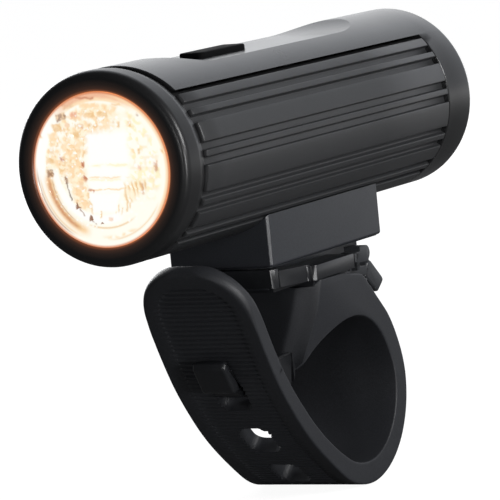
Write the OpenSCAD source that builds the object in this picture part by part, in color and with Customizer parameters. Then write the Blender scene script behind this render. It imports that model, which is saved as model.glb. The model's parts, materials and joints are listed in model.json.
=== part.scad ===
// Bicycle headlight: a grooved tube lamp on a quick-release bracket with a rubber handlebar strap.
// The origin is the handlebar axis at mid strap width.
// The beam points along -Y, +Z is up and +X is the rider's left.

/* [Lamp tube] */
// Outer diameter of the lamp tube
lamp_d = 32; // [31:0.5:34]
// Overall length of the lamp
lamp_len = 104.2; // [102:0.2:112]
// Distance from the handlebar axis forward to the front face
front_reach = 61.8; // [60:0.2:64]
// Height of the lamp axis above the handlebar axis
axis_height = 46.7; // [46:0.1:49]
// Length of the smooth front bezel
bezel_len = 6.5; // [6:0.1:7.4]
// Length of the smooth tail collar
tail_len = 9.6; // [9:0.1:11]
// Wall of the barrel
barrel_wall = 2.6; // [2.4:0.1:2.9]
// Width of the bezel's face around the lens
bezel_face_w = 3.55; // [3.3:0.05:5]

/* [Grooves] */
// Angle from the top to the middle of the first groove pair
pair_angle_1 = 60.6; // [59:0.1:63]
// Angle from the top to the middle of the second groove pair
pair_angle_2 = 86.3; // [84:0.1:90]
// Angle from the top to the middle of the third groove pair
pair_angle_3 = 115.8; // [112:0.1:119]
// Angle from the top to the middle of the fourth groove pair
pair_angle_4 = 139.6; // [137:0.1:143]
// Width of one groove
groove_w = 1.26; // [0.8:0.02:1.6]
// Width of the ridge between the two grooves of a pair
ridge_w = 1.14; // [0.8:0.02:1.6]
// Depth of a groove
groove_depth = 0.8; // [0.4:0.05:0.9]

/* [Top cover] */
// Height of the cover from its lower edge to the crown of the tube
cover_h = 4.85; // [4.5:0.05:5.1]
// Visible seam between the cover and its neighbours
seam = 0.45; // [0.3:0.05:0.6]
// Depth of the scooped flat below the crown of the tube
scoop_depth = 1.6; // [1.2:0.1:1.8]
// Distance from the front face to where the scoop starts to sink
scoop_from = 8.5; // [8:0.5:14]
// Distance from the front face to the start of the flat
flat_from = 25; // [20:0.5:29]
// Distance from the front face to the end of the flat
flat_to = 72; // [60:0.5:76]
// Radius of the sweep that rises out of the flat at the rear
sweep_r = 45; // [20:1:60]

/* [Button] */
// Length of the push button
button_len = 14.6; // [10:0.2:16]
// Width of the push button
button_w = 4.8; // [4:0.1:6]
// Distance from the front face to the button
button_from = 32; // [31:0.2:36]
// How far the button stands above the flat
button_proud = 1.1; // [0.9:0.1:1.5]
// Travel of the button
button_travel = 0.7; // [0.4:0.1:0.8]

/* [Mount foot] */
// Width of the foot
foot_w = 19.8; // [18:0.2:21]
// Length of the foot
foot_len = 39.4; // [39:0.2:42]
// Distance from the front face to the foot
foot_from = 35.4; // [34.6:0.2:36]
// Height of the lower face of the foot above the handlebar axis
foot_z = 25.2; // [25.1:0.1:26]
// Width of the rail's flange
rail_w = 15.2; // [14:0.2:15.4]
// Width of the rail's neck
neck_w = 10.4; // [8:0.2:11]
// Thickness of the rail's flange
rail_t = 1.2; // [1:0.1:1.25]

/* [Bracket] */
// Width of the bracket's wide plate
plate_w = 22; // [21.4:0.2:24]
// Width of the bracket's front section
nose_w = 20; // [19.4:0.2:20.8]
// Height of the plate's top above the handlebar axis
plate_z = 23.6; // [23.5:0.1:24]
// Height of the channel floor above the handlebar axis
channel_z = 21.2; // [21.1:0.05:21.25]
// Thickness of the front stop wall
stop_t = 2; // [1.4:0.1:2.4]

/* [Handlebar strap] */
// Diameter of the handlebar that the strap holds
bar_d = 25.4; // [25:0.1:25.8]
// Width of the strap
strap_w = 20.6; // [20:0.1:21]
// Thickness of the strap around the bar
strap_t = 4; // [3.6:0.1:4.4]
// Thickness of the tongue
tongue_t = 3; // [2.8:0.1:3.2]
// Slope of the tongue above the horizontal
tongue_slope = 60; // [58:0.5:62]
// Length of the straight tongue
tongue_len = 22.5; // [18:0.5:23]
// Radius of the strap's front bend on its outer face
bend_r = 62; // [60:0.5:64]
// Radius of the tongue's round end corners
tongue_corner_r = 8.5; // [5:0.5:9.5]
// Width of a hook slot
slot_w = 8; // [7.8:0.1:9]
// Length of a hook slot
slot_len = 7; // [6.6:0.1:7.6]
// Number of hook slots
slot_count = 3; // [1:1:3]
// Spacing of the fine ribs across the strap's outer face
rib_pitch = 0.95; // [0.8:0.05:1.6]
// Depth of the grooves between the ribs
rib_depth = 0.35; // [0.2:0.05:0.5]
// Width of the plain border beside the ribs
rib_border = 3.1; // [2.4:0.1:4]

/* [Hook] */
// Width of the hook that holds the strap
hook_w = 6.4; // [6:0.1:7]
// How far the hook's front face stands off the tongue
hook_proud = 3.3; // [2.6:0.1:4]

/* [Release lever] */
// Diameter of the lever's pin
lever_pin_d = 1.4; // [1.2:0.1:1.5]
// Length of the lever's slanted finger tab
lever_tab_len = 6; // [5:0.2:6.6]
// Width of the lever's finger tab
lever_tab_w = 16; // [12:0.5:17]

/* [Charging port] */
// Width of the port's rubber cover
port_cover_w = 13.4; // [12:0.2:15]
// Height of the port's rubber cover
port_cover_h = 7.6; // [7:0.2:9]

/* [Hidden] */
$fn = 96;

// A length beyond every part, an overshoot for cuts, and how far features of one part run into each other
big = 60;
over = 1;
bite = 0.2;

// Gaps: between parts that slide, between fitted parts, around seated parts and around a pin that turns
slide_fit = 0.3;
snug_fit = 0.15;
seat_fit = 0.02;
pin_fit = 0.05;

lamp_r = lamp_d / 2;
bore_r = lamp_r - barrel_wall;
opening_r = lamp_r - bezel_face_w;
pair_angles = [pair_angle_1, pair_angle_2, pair_angle_3, pair_angle_4];

// Bezel and its spigot in the barrel, with stations measured back from the front face
barrel_from = bezel_len + seam;
tail_from = lamp_len - tail_len;
bezel_edge_r = 1.4;
bezel_chamfer = 0.4;
spigot_len = 5;
spigot_step = 1;
spigot_r = bore_r + spigot_step;
spigot_bore_r = bore_r - snug_fit;
socket_slack = 0.6;
socket_to = barrel_from + spigot_len + socket_slack;
front_seal_in = 0.9;
front_seal_w = lamp_r - spigot_r - front_seal_in;

// Optics stacked behind the bezel's lip
lip_t = 1.6;
lens_fit = 0.1;
lens_r = spigot_bore_r - lens_fit;
lens_t = 2.2;
lens_boss_from = 0.4;
gasket_from = lip_t + lens_t;
gasket_t = 0.8;
flange_from = gasket_from + gasket_t;
flange_t = 0.8;
flange_rim = 0.4;
bowl_from = flange_from + flange_t;
bowl_len = 13.6;
bowl_in = 0.45;
bowl_r = opening_r - bowl_in;
bowl_throat_r = 3.6;
bowl_wall = 0.9;
bowl_steps = 14;
led_base = 3.6;
led_base_t = 0.9;
led_dome_r = 1.5;
led_board_from = bowl_from + bowl_len;
led_board_t = 1.6;
led_board_in = 4.4;
led_board_r = bore_r - led_board_in;
sink_from = led_board_from + led_board_t;
sink_len = 5.2;
sink_to = sink_from + sink_len;
sink_web = 1.8;
sink_seat = 1.6;
sink_cup_r = led_board_r - sink_seat;
sink_wire_r = 1;
sink_wire_at = 6;

// Tail end
tail_edge_r = 1.6;
tail_wall = 3.2;
tail_spigot_len = 1.6;
tail_spigot_from = tail_from - tail_spigot_len;
tail_hollow_in = 2;
tail_hollow_r = bore_r - tail_hollow_in;
seal_groove_t = 1;
seal_groove_r = bore_r - seal_groove_t;
seal_ahead = 1.3;
seal_from = tail_from - seal_ahead;
seal_t = 0.8;

// Cell and its cradle, with heights from the lamp axis. The cell fills the room between heat sink and tail.
charge_board_len = 7.2;
charge_board_w = 11;
end_plate_t = 1.6;
end_plate_to = lamp_len - tail_wall - charge_board_len;
end_plate_in = 2.2;
end_plate_r = bore_r - end_plate_in;
cell_side = 4.2;
cell_r = bore_r - cell_side;
cell_gap = 1.2;
cell_from = sink_to + cell_gap;
cell_to = end_plate_to - end_plate_t;
cell_len = cell_to - cell_from;
cell_z = -1.8;
cell_cap_r = 2.6;
cell_cap_t = 0.7;
tab_t = 0.2;
tab_w = 5;
tab_drop = 2;
cradle_ring_w = 4;
cradle_ring_in = 3;
cradle_beam_w = 2.4;
cradle_beam_h = 3.2;
cradle_beam_x = bore_r - cradle_beam_w;
end_slot_w = 6;
end_slot_drop = 3;
end_slot_low = cell_z - end_slot_drop;
pcb_gap = 0.4;
pcb_z = cell_z + cell_r + pcb_gap;
pcb_t = 1.2;
pcb_side = 1.43;
pcb_w = 2 * (sqrt(pow(bore_r, 2) - pow(pcb_z + pcb_t, 2)) - pcb_side);
pcb_in = 3;

// Top cover, with heights from the lamp axis
cover_edge_z = lamp_r - cover_h;
ledge_z = cover_edge_z - seam;
floor_z = lamp_r - scoop_depth;
cover_t = 1.6;
ceiling_z = floor_z - cover_t;
cover_hollow_in = 2;
cover_hollow_from = barrel_from + spigot_len + cover_hollow_in;
ledge_in = sqrt(pow(bore_r, 2) - pow(ledge_z, 2));
ledge_out = sqrt(pow(lamp_r, 2) - pow(cover_edge_z, 2));
cover_side = 0.47;
cover_hollow_w = 2 * (ledge_in - cover_side);
cover_leg_x = (ledge_in + ledge_out) / 2;
cover_leg_w = 1.6;

// Charging port, with heights from the lamp axis
port_z = -2;
port_w = 9;
port_h = 3.2;
port_r = 1.5;
port_wall = 0.35;
port_len = 7;
port_in = 2.2;
port_to = lamp_len - port_in;
port_from = port_to - port_len;
port_gap = 0.25;
blade_w = 6.6;
blade_t = 0.7;
cover_corner_r = 1.6;
cover_gap = 0.2;
flap_t = 1.2;
flap_from = lamp_len - flap_t;
flap_proud = 0.2;
plug_t = 0.8;
plug_r = 1;
hinge_r = 0.8;
hinge_w = 6;
hinge_drop = 0.6;
hinge_at = [flap_from + hinge_drop, port_z - port_cover_h / 2 - hinge_drop];
hinge_web_t = 1;

// Tail screws, above the port's cover and inside the tail's hollow
tail_screw_r = 0.8;
tail_screw_len = 8;
tail_head_r = 1.7;
tail_head_t = 1.2;
tail_head_sink = 0.4;
tail_hex_r = 0.8;
tail_hex_t = 0.7;
tail_boss_r = 1.3;
tail_screw_gap = 0.35;
tail_screw_z = port_z + port_cover_h / 2 + cover_gap + tail_head_r + snug_fit + tail_screw_gap;
tail_screw_x = sqrt(pow(tail_hollow_r - tail_boss_r - pin_fit, 2) - pow(tail_screw_z, 2));

// Button, its seal and the switch below it
button_gap = 0.2;
button_crown = 0.35;
button_corner_r = 1;
key_flange_out = 1.2;
key_flange_w = button_w + 2 * key_flange_out;
key_flange_len = button_len + 2 * key_flange_out;
key_flange_t = 0.9;
key_seal_in = 0.6;
key_seal_w = cover_hollow_w - 2 * key_seal_in;
key_seal_out = 2.3;
key_seal_len = key_flange_len + 2 * key_seal_out;
switch_w = 6;
switch_top_z = ceiling_z - key_flange_t - button_travel - pin_fit;
plunger_r = 1.6;
plunger_t = 0.5;

// Foot screws
foot_screw_in = 9;
foot_screw_r = 1.5;
foot_head_r = 2.4;
foot_head_t = 1.6;
foot_head_room = 3;
foot_hex_r = 1.2;
foot_hex_t = 0.8;
foot_corner_r = 1.6;
foot_wrap = 8;
foot_h = axis_height - foot_z - lamp_r + foot_wrap;
foot_head_sink = 0.1;
foot_seat_z = -bore_r - foot_head_sink;
foot_floor_t = 2;
foot_screw_len = axis_height + foot_seat_z - foot_z - foot_floor_t;

// The handlebar and the strap, with the slopes at which the strap's outer and inner faces leave the bar
bar_r = bar_d / 2;
ring_r = bar_r + strap_t;
leave_out = 33;
leave_in = 28.5;
turn_out = cos(tongue_slope - leave_out);
turn_in = cos(tongue_slope - leave_in);
bend_in_r = (bend_r * (1 - turn_out) + ring_r * turn_out - bar_r * turn_in - tongue_t) / (1 - turn_in);
bend_out_c = (bend_r - ring_r) * [sin(leave_out), cos(leave_out)];
bend_in_c = (bend_in_r - bar_r) * [sin(leave_in), cos(leave_in)];
tongue_at = bend_out_c - bend_r * [sin(tongue_slope), cos(tongue_slope)];
bend_fn = 360;
slot_pitch_angle = 11.2;
slot_first_angle = 56.4;
slot_cut = 12;
rib_gap = rib_pitch / 2;
rib_reach_angle = 24;
saddle_front = -11.5;
saddle_top = 20.9;
saddle_crest = -2.4;
saddle_rear_z = 19.4;
taper_drop = 1.6;
taper_z = saddle_top - taper_drop;
taper_back = -15.5;
taper_down = 19.5;

// The bracket, in heights above and distances behind the handlebar axis
keel_w = 18.4;
keel_t = 1.4;
keel_z = channel_z - keel_t;
floor_w = 16.8;
floor_t = 0.5;
nose_floor_z = channel_z - floor_t;
rail_play = 0.05;
lip_z = channel_z + rail_t + rail_play;
stop_ahead = 0.1;
stop_from = foot_from - front_reach - stop_ahead;
stop_low = 21.7;
stop_rise = 1.2;
stop_high = plate_z + stop_rise;
stop_corner_r = 0.6;
nose_from = stop_from + stop_t;
nose_low = 21.6;
nose_rise = 0.8;
nose_high = plate_z + nose_rise;
plate_from = -13.8;
plate_to = 0.6;
plate_low = 21.1;
step_rise = 0.2;
step_z = plate_z + step_rise;
rail_from = nose_from;
rail_to = foot_from + foot_len - front_reach;
notch_at = 8.4;
notch_len = 2.8;
notch_depth = 0.8;
notch_z = channel_z + notch_depth;
flange_past = 0.6;
rail_flange_to = notch_at + notch_len / 2 + flange_past;
neck_rise = 1.4;

// The hook: its stem in the saddle, and where its arm and tip lie when measured up the tongue
stem_w = 8.6;
stem_proud = 1;
stem_front = saddle_front - stem_proud;
stem_in = 2;
stem_back = saddle_front + stem_in;
stem_sink = 0.5;
stem_top = channel_z - stem_sink;
stem_foot = [3, 6];
stem_gap = 0.3;
arm_root = [1.6, 8.4];
arm_fillet = 0.6;
hook_low = -3.9;
hook_high = -0.6;
hook_bend = 0.1;
hook_tip = 5.2;
hook_chamfer = 0.6;
hook_inner = 1.5;
hook_start = -3;
hook_plate = 1.2;
arm_w = 4.8;

// The release lever, its pin and spring
pivot = [2.4, 19.5];
knuckle_r = 1.45;
knuckle_half = 4;
knuckle_gap = 0.2;
knuckle_arm_t = 1.2;
coil_half = 1.9;
coil_room = 3;
lever_knuckle_w = 3.8;
lever_knuckle_x = knuckle_half + knuckle_gap + lever_knuckle_w / 2;
cheek_t = plate_w / 2 - rail_w / 2 - slide_fit;
cheek_from = 1.7;
cheek_to = 6.6;
cheek_low = 21.7;
cheek_high = 24.4;
cheek_r = (cheek_high - cheek_low) / 2;
link_w = cheek_t + slide_fit;
link_in = 0.6;
bar_w = rail_w + 2 * (slide_fit + bite);
lever_from = 4.15;
lever_to = 11.2;
lever_low = 18.9;
lever_root_t = 1.9;
lever_end_low = 18.5;
lever_end_high = 20;
tooth_z = channel_z - slide_fit;
link_z = tooth_z - slide_fit;
tooth_t = 1.6;
tab_t_lever = 3.2;
tab_corner_r = 1.8;
tab_root = 0.5;
tab_rise = 0.5;
tab_start = [lever_to - tab_root, lever_low + tab_rise];
tab_angle = -42;
lever_room_w = lever_tab_w + 4 * slide_fit;
lever_room_z = 17.4;
spring_turns = 4;
spring_r = 1.06;
spring_wire_r = 0.2;
spring_half = coil_half - slide_fit;
spring_steps = 12;
spring_sides = 6;
spring_rings = spring_turns * spring_steps;

function polar(r, a) = r * [cos(a), sin(a)];
function arc(c, r, a0, a1, steps) = [for (i = [0:steps]) c + polar(r, a0 + (a1 - a0) * i / steps)];

// Places children in the lamp's own frame: y back from the front face, z up from the lamp axis.
module in_lamp() translate([0, -front_reach, axis_height]) children();

// Extrudes an outline drawn in x and z along y.
module extrude_y(from, len) translate([0, from + len, 0]) rotate([90, 0, 0]) linear_extrude(len) children();

// Extrudes an outline drawn in y and z along x, centred.
module extrude_x(w) rotate([90, 0, 90]) linear_extrude(w, center = true) children();

// Revolves an outline drawn as radius and y about the lamp axis.
module revolve_y() rotate([-90, 0, 0]) rotate_extrude() children();

// A cylinder along y.
module rod_y(r, from, len) translate([0, from, 0]) rotate([-90, 0, 0]) cylinder(r = r, h = len);

// A ring along y.
module ring_y(r_out, r_in, from, len) difference() {
    rod_y(r_out, from, len);
    rod_y(r_in, from - over, len + 2 * over);
}

// A cylinder along x, centred, at a point given as y and z.
module rod_x(r, w, at) translate([0, at[0], at[1]]) rotate([0, 90, 0]) cylinder(r = r, h = w, center = true);

// A block from corner to corner that is centred on x.
module block(w, y0, y1, z0, z1) translate([-w / 2, y0, z0]) cube([w, y1 - y0, z1 - z0]);

// A rectangle with round corners.
module round_rect(w, h, r) {
    square([w - 2 * r, h], center = true);
    square([w, h - 2 * r], center = true);
    for (x = [-1, 1], y = [-1, 1]) translate([x * (w / 2 - r), y * (h / 2 - r)]) circle(r = r);
}

// Repeats children at a distance on the left and on the right.
module left_right(x) for (s = [-1, 1]) translate([s * x, 0, 0]) children();

// Repeats children at an angle from the top on the left side and mirrored on the right side.
module both_sides(a) {
    rotate(-a) children();
    rotate(a) children();
}

// Lamp shell

module groove_outline() {
    half_step = (groove_w + ridge_w) / 2;
    for (a = pair_angles, s = [-1, 1])
        both_sides(a) translate([s * half_step, lamp_r]) square([groove_w, 2 * groove_depth], center = true);
}

module barrel_outline() difference() {
    circle(r = lamp_r);
    circle(r = bore_r);
    groove_outline();
    translate([-big / 2, ledge_z]) square([big, big]);
}

// The room for the bezel's spigot at the front of the barrel and the cover.
module spigot_socket() rod_y(spigot_r + snug_fit, barrel_from - over, socket_to - barrel_from + over);

module barrel() color([0.13, 0.13, 0.14]) in_lamp() difference() {
    extrude_y(barrel_from, tail_from - barrel_from) barrel_outline();
    spigot_socket();
    foot_screw_places() {
        cylinder(r = foot_screw_r + snug_fit, h = big);
        translate([0, 0, -foot_head_room]) cylinder(r = foot_head_r + snug_fit, h = foot_head_room);
    }
}

module front_bezel() color([0.09, 0.09, 0.1]) in_lamp() revolve_y() polygon(concat(
    [[opening_r, lip_t], [opening_r, bezel_chamfer], [opening_r + bezel_chamfer, 0]],
    arc([lamp_r - bezel_edge_r, bezel_edge_r], bezel_edge_r, -90, 0, 6),
    [[lamp_r, bezel_len], [spigot_r, bezel_len], [spigot_r, bezel_len + spigot_len]],
    [[spigot_bore_r, bezel_len + spigot_len], [spigot_bore_r, lip_t]]));

module front_seal() color([0.05, 0.05, 0.05]) in_lamp() revolve_y()
    translate([spigot_r + seat_fit, bezel_len]) square([front_seal_w, seam]);

// Side outline of the scoop along the crown: a ramp, a flat and a concave sweep at the rear.
module scoop_outline() {
    above = lamp_r + over;
    polygon([[scoop_from, lamp_r], [flat_from, floor_z], [flat_to, floor_z], [flat_to, above],
        [scoop_from, above]]);
    intersection() {
        translate([flat_to, floor_z + sweep_r]) circle(r = sweep_r);
        translate([flat_to - bite, floor_z]) square([sweep_r, scoop_depth + over]);
    }
}

module tail_outline() polygon(concat(
    [[0, tail_from], [lamp_r, tail_from]],
    arc([lamp_r - tail_edge_r, lamp_len - tail_edge_r], tail_edge_r, 0, 90, 6),
    [[0, lamp_len]]));

module top_cover() color([0.16, 0.16, 0.17]) in_lamp() difference() {
    union() {
        intersection() {
            rod_y(lamp_r, barrel_from, tail_from - barrel_from + bite);
            block(big, barrel_from, tail_from + over, cover_edge_z, big);
        }
        left_right(cover_leg_x)
            block(cover_leg_w, cover_hollow_from, tail_from, ledge_z, cover_edge_z + bite);
        revolve_y() tail_outline();
        rod_y(spigot_bore_r, tail_spigot_from, tail_spigot_len + bite);
    }
    extrude_x(big) scoop_outline();
    block(cover_hollow_w, cover_hollow_from, tail_from + over, 0, ceiling_z);
    spigot_socket();
    rod_y(tail_hollow_r, tail_spigot_from - over, lamp_len - tail_wall - tail_spigot_from + over);
    ring_y(bore_r, seal_groove_r, seal_from, seal_t);
    button_place() linear_extrude(big, center = true)
        round_rect(button_w + 2 * button_gap, button_len + 2 * button_gap, button_corner_r + button_gap);
    port_cuts();
    tail_screw_places() {
        cylinder(r = tail_screw_r + pin_fit, h = big, center = true);
        cylinder(r = tail_head_r + snug_fit, h = tail_head_t + tail_head_sink);
    }
}

module tail_seal() color([0.05, 0.05, 0.05]) in_lamp()
    ring_y(bore_r - seat_fit, seal_groove_r + seat_fit, seal_from, seal_t);

module tail_screw_places() left_right(tail_screw_x) translate([0, lamp_len, tail_screw_z]) rotate([90, 0, 0])
    children();

module tail_screws() color([0.55, 0.55, 0.57]) in_lamp() tail_screw_places() translate([0, 0, tail_head_sink])
    difference() {
        union() {
            cylinder(r = tail_head_r, h = tail_head_t);
            cylinder(r = tail_screw_r, h = tail_screw_len);
        }
        cylinder(r = tail_hex_r, h = 2 * tail_hex_t, $fn = 6, center = true);
    }

// Optics

module lens() color([0.92, 0.93, 0.95, 0.6]) in_lamp() {
    rod_y(lens_r, lip_t, lens_t);
    rod_y(opening_r - snug_fit, lens_boss_from, lip_t - lens_boss_from + bite);
}

module lens_gasket() color([0.06, 0.06, 0.06]) in_lamp() ring_y(lens_r, bowl_r + bite, gasket_from, gasket_t);

// Parabolic bowl: the radius falls from the mouth to the throat.
function bowl_radius(y) = bowl_throat_r + (bowl_r - bowl_throat_r) * sqrt(1 - y / bowl_len);

module reflector() color([0.9, 0.9, 0.88]) in_lamp() {
    curve = [for (i = [0:bowl_steps]) let (y = bowl_len * (1 - pow(1 - i / bowl_steps, 2)))
        [bowl_radius(y), bowl_from + y]];
    revolve_y() polygon(concat(
        [[lens_r, flange_from], [bowl_r, flange_from]],
        curve,
        [for (i = [bowl_steps:-1:1]) curve[i] + [bowl_wall, 0]],
        [[lens_r, bowl_from + flange_rim]]));
}

module led_emitter() color([0.95, 0.85, 0.45]) in_lamp() translate([0, led_board_from - led_base_t, 0]) {
    block(led_base, 0, led_base_t, -led_base / 2, led_base / 2);
    intersection() {
        sphere(r = led_dome_r);
        rod_y(led_dome_r + over, -led_dome_r - over, led_dome_r + over + bite);
    }
}

module led_board() color([0.85, 0.85, 0.86]) in_lamp() rod_y(led_board_r, led_board_from, led_board_t);

module heat_sink() color([0.7, 0.71, 0.72]) in_lamp() difference() {
    rod_y(bore_r - seat_fit, sink_from, sink_len);
    block(big, sink_from - over, sink_to + over, ledge_z - snug_fit, big);
    rod_y(sink_cup_r, sink_from + sink_web, big);
    left_right(sink_wire_at) translate([0, 0, sink_wire_at])
        rod_y(sink_wire_r, sink_from - over, sink_web + 2 * over);
}

// Battery and electronics

module battery_cell() color([0.2, 0.42, 0.55]) in_lamp() translate([0, 0, cell_z]) {
    rod_y(cell_r, cell_from, cell_len);
    rod_y(cell_cap_r, cell_from - cell_cap_t, cell_cap_t + bite);
}

module cell_tabs() color([0.75, 0.76, 0.74]) in_lamp() for (y = [cell_from - cell_cap_t - tab_t, cell_to])
    block(tab_w, y, y + tab_t, cell_z - tab_drop, pcb_z);

module tail_boss_places() left_right(tail_screw_x) translate([0, end_plate_to - bite, tail_screw_z])
    rotate([-90, 0, 0]) children();

module battery_cradle() color([0.22, 0.22, 0.23]) in_lamp() difference() {
    union() {
        for (y = [cell_from + cradle_ring_in, cell_to - cradle_ring_in - cradle_ring_w])
            rod_y(bore_r - seat_fit, y, cradle_ring_w);
        left_right(cradle_beam_x)
            block(cradle_beam_w, sink_to, tail_spigot_from - bite, -cradle_beam_h / 2, cradle_beam_h / 2);
        rod_y(end_plate_r, cell_to, end_plate_to - cell_to);
        tail_boss_places() cylinder(r = tail_boss_r, h = lamp_len - tail_wall - end_plate_to + bite);
    }
    translate([0, 0, cell_z]) rod_y(cell_r + seat_fit, sink_to - over, cell_to + bite - sink_to + over);
    block(big, sink_to - over, cell_to, pcb_z, big);
    block(end_slot_w, cell_to - bite, end_plate_to + over, end_slot_low, big);
    tail_boss_places() cylinder(r = tail_screw_r + seat_fit, h = big, center = true);
}

module driver_board() color([0.1, 0.32, 0.2]) in_lamp()
    block(pcb_w, cell_from + pcb_in, cell_to - pcb_in, pcb_z, pcb_z + pcb_t);

module button_place() translate([0, button_from + button_len / 2, 0]) children();

module tactile_switch() color([0.75, 0.75, 0.73]) in_lamp() button_place() {
    body_top = switch_top_z - plunger_t;
    block(switch_w, -switch_w / 2, switch_w / 2, pcb_z + pcb_t, body_top);
    translate([0, 0, body_top - bite]) cylinder(r = plunger_r, h = plunger_t + bite);
}

module button() color([0.06, 0.06, 0.06]) in_lamp() button_place() {
    top_z = floor_z + button_proud;
    translate([0, 0, ceiling_z - bite]) linear_extrude(top_z - button_crown - ceiling_z + bite)
        round_rect(button_w, button_len, button_corner_r);
    translate([0, 0, top_z - button_crown]) linear_extrude(button_crown)
        round_rect(button_w - 2 * button_crown, button_len - 2 * button_crown,
            button_corner_r - button_crown);
    translate([0, 0, ceiling_z - key_flange_t]) linear_extrude(key_flange_t)
        round_rect(key_flange_w, key_flange_len, button_corner_r);
}

module button_seal() color([0.05, 0.05, 0.05]) in_lamp() button_place()
    translate([0, 0, ceiling_z - key_flange_t]) linear_extrude(key_flange_t) difference() {
        square([key_seal_w, key_seal_len], center = true);
        round_rect(key_flange_w + 2 * slide_fit, key_flange_len + 2 * slide_fit, button_corner_r);
    }

module charge_board() color([0.1, 0.32, 0.2]) in_lamp()
    block(charge_board_w, end_plate_to, end_plate_to + charge_board_len, port_z - port_h / 2 - pcb_t,
        port_z - port_h / 2);

module charge_port() color([0.78, 0.78, 0.8]) in_lamp() translate([0, 0, port_z]) {
    difference() {
        extrude_y(port_from, port_to - port_from) round_rect(port_w, port_h, port_r);
        extrude_y(port_from + over, big)
            round_rect(port_w - 2 * port_wall, port_h - 2 * port_wall, port_r - port_wall);
    }
    block(blade_w, port_from + over / 2, port_to - over, -blade_t / 2, blade_t / 2);
}

// The recess, the window and the hinge seat for the charging port in the tail.
module port_cuts() {
    recess_low = hinge_at[1] - 2 * hinge_r;
    recess_high = port_z + port_cover_h / 2 + cover_gap;
    extrude_y(flap_from, big) translate([0, (recess_low + recess_high) / 2])
        round_rect(port_cover_w + 2 * cover_gap, recess_high - recess_low, cover_corner_r);
    extrude_y(lamp_len - tail_wall - over, big) translate([0, port_z])
        round_rect(port_w + 2 * port_gap, port_h + 2 * port_gap, port_r);
    rod_x(hinge_r + pin_fit, hinge_w + 2 * slide_fit, hinge_at);
}

module port_cover() color([0.05, 0.05, 0.05]) in_lamp() {
    translate([0, 0, port_z]) {
        extrude_y(flap_from, flap_t + flap_proud)
            round_rect(port_cover_w, port_cover_h, cover_corner_r);
        extrude_y(flap_from - plug_t, plug_t + bite)
            round_rect(port_w - 2 * slide_fit, port_h - 2 * slide_fit, plug_r);
    }
    rod_x(hinge_r, hinge_w, hinge_at);
    block(hinge_w, hinge_at[0] - hinge_web_t / 2, hinge_at[0] + hinge_web_t / 2, hinge_at[1],
        port_z - port_cover_h / 2 + bite);
}

// Foot

module foot_screw_places() for (y = [foot_from + foot_screw_in, foot_from + foot_len - foot_screw_in])
    translate([0, y, foot_seat_z]) rotate([180, 0, 0]) children();

module mount_foot() color([0.1, 0.1, 0.11]) {
    in_lamp() difference() {
        translate([0, foot_from + foot_len / 2, foot_z - axis_height])
            linear_extrude(foot_h) round_rect(foot_w, foot_len, foot_corner_r);
        rod_y(lamp_r + seat_fit, 0, lamp_len);
        foot_screw_places() cylinder(r = foot_screw_r + seat_fit, h = foot_screw_len + bite);
    }
    difference() {
        union() {
            block(neck_w, rail_from, rail_to, channel_z + neck_rise, foot_z + bite);
            block(neck_w, rail_from, rail_flange_to, channel_z, foot_z + bite);
            block(rail_w, rail_from, rail_flange_to, channel_z, channel_z + rail_t);
        }
        block(big, notch_at - notch_len / 2, notch_at + notch_len / 2, 0, notch_z);
    }
}

module foot_screws() color([0.6, 0.6, 0.62]) in_lamp() foot_screw_places() difference() {
    union() {
        translate([0, 0, -foot_head_t]) cylinder(r = foot_head_r, h = foot_head_t);
        translate([0, 0, -bite]) cylinder(r = foot_screw_r, h = foot_screw_len + bite);
    }
    translate([0, 0, -foot_head_t]) cylinder(r = foot_hex_r, h = 2 * foot_hex_t, $fn = 6, center = true);
}

// Bracket

// A point in y and z, given as the distance up the tongue and out from its outer face.
function tongue_point(t, n) = tongue_at + t * [-cos(tongue_slope), sin(tongue_slope)]
    - n * [sin(tongue_slope), cos(tongue_slope)];

// Outline of the hook in y and z: a stem down the saddle's front, an arm to the slot and an upturned tip.
module hook_outline() difference() {
    union() {
        polygon([[stem_front, stem_top], [stem_back, stem_top], [stem_back, stem_foot[1]],
            [stem_front, stem_foot[0]]]);
        polygon([tongue_point(hook_low, hook_start), tongue_point(hook_high, hook_start),
            [stem_front - arm_fillet, arm_root[1]], [stem_back, arm_root[1]], [stem_back, arm_root[0]]]);
        polygon([tongue_point(hook_low, hook_start - bite), tongue_point(hook_low, bite),
            tongue_point(hook_bend, hook_proud), tongue_point(hook_tip - hook_chamfer, hook_proud),
            tongue_point(hook_tip, hook_proud - hook_chamfer), tongue_point(hook_tip, hook_inner),
            tongue_point(hook_high + over, 2 * bite), tongue_point(hook_high, bite),
            tongue_point(hook_high, hook_start - bite)]);
    }
    circle(r = bar_r + stem_gap);
}

// The hook's stem, which is let into the saddle.
module hook_stem() extrude_x(stem_w) intersection() {
    hook_outline();
    translate([stem_front, 0]) square([big, big]);
}

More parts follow.
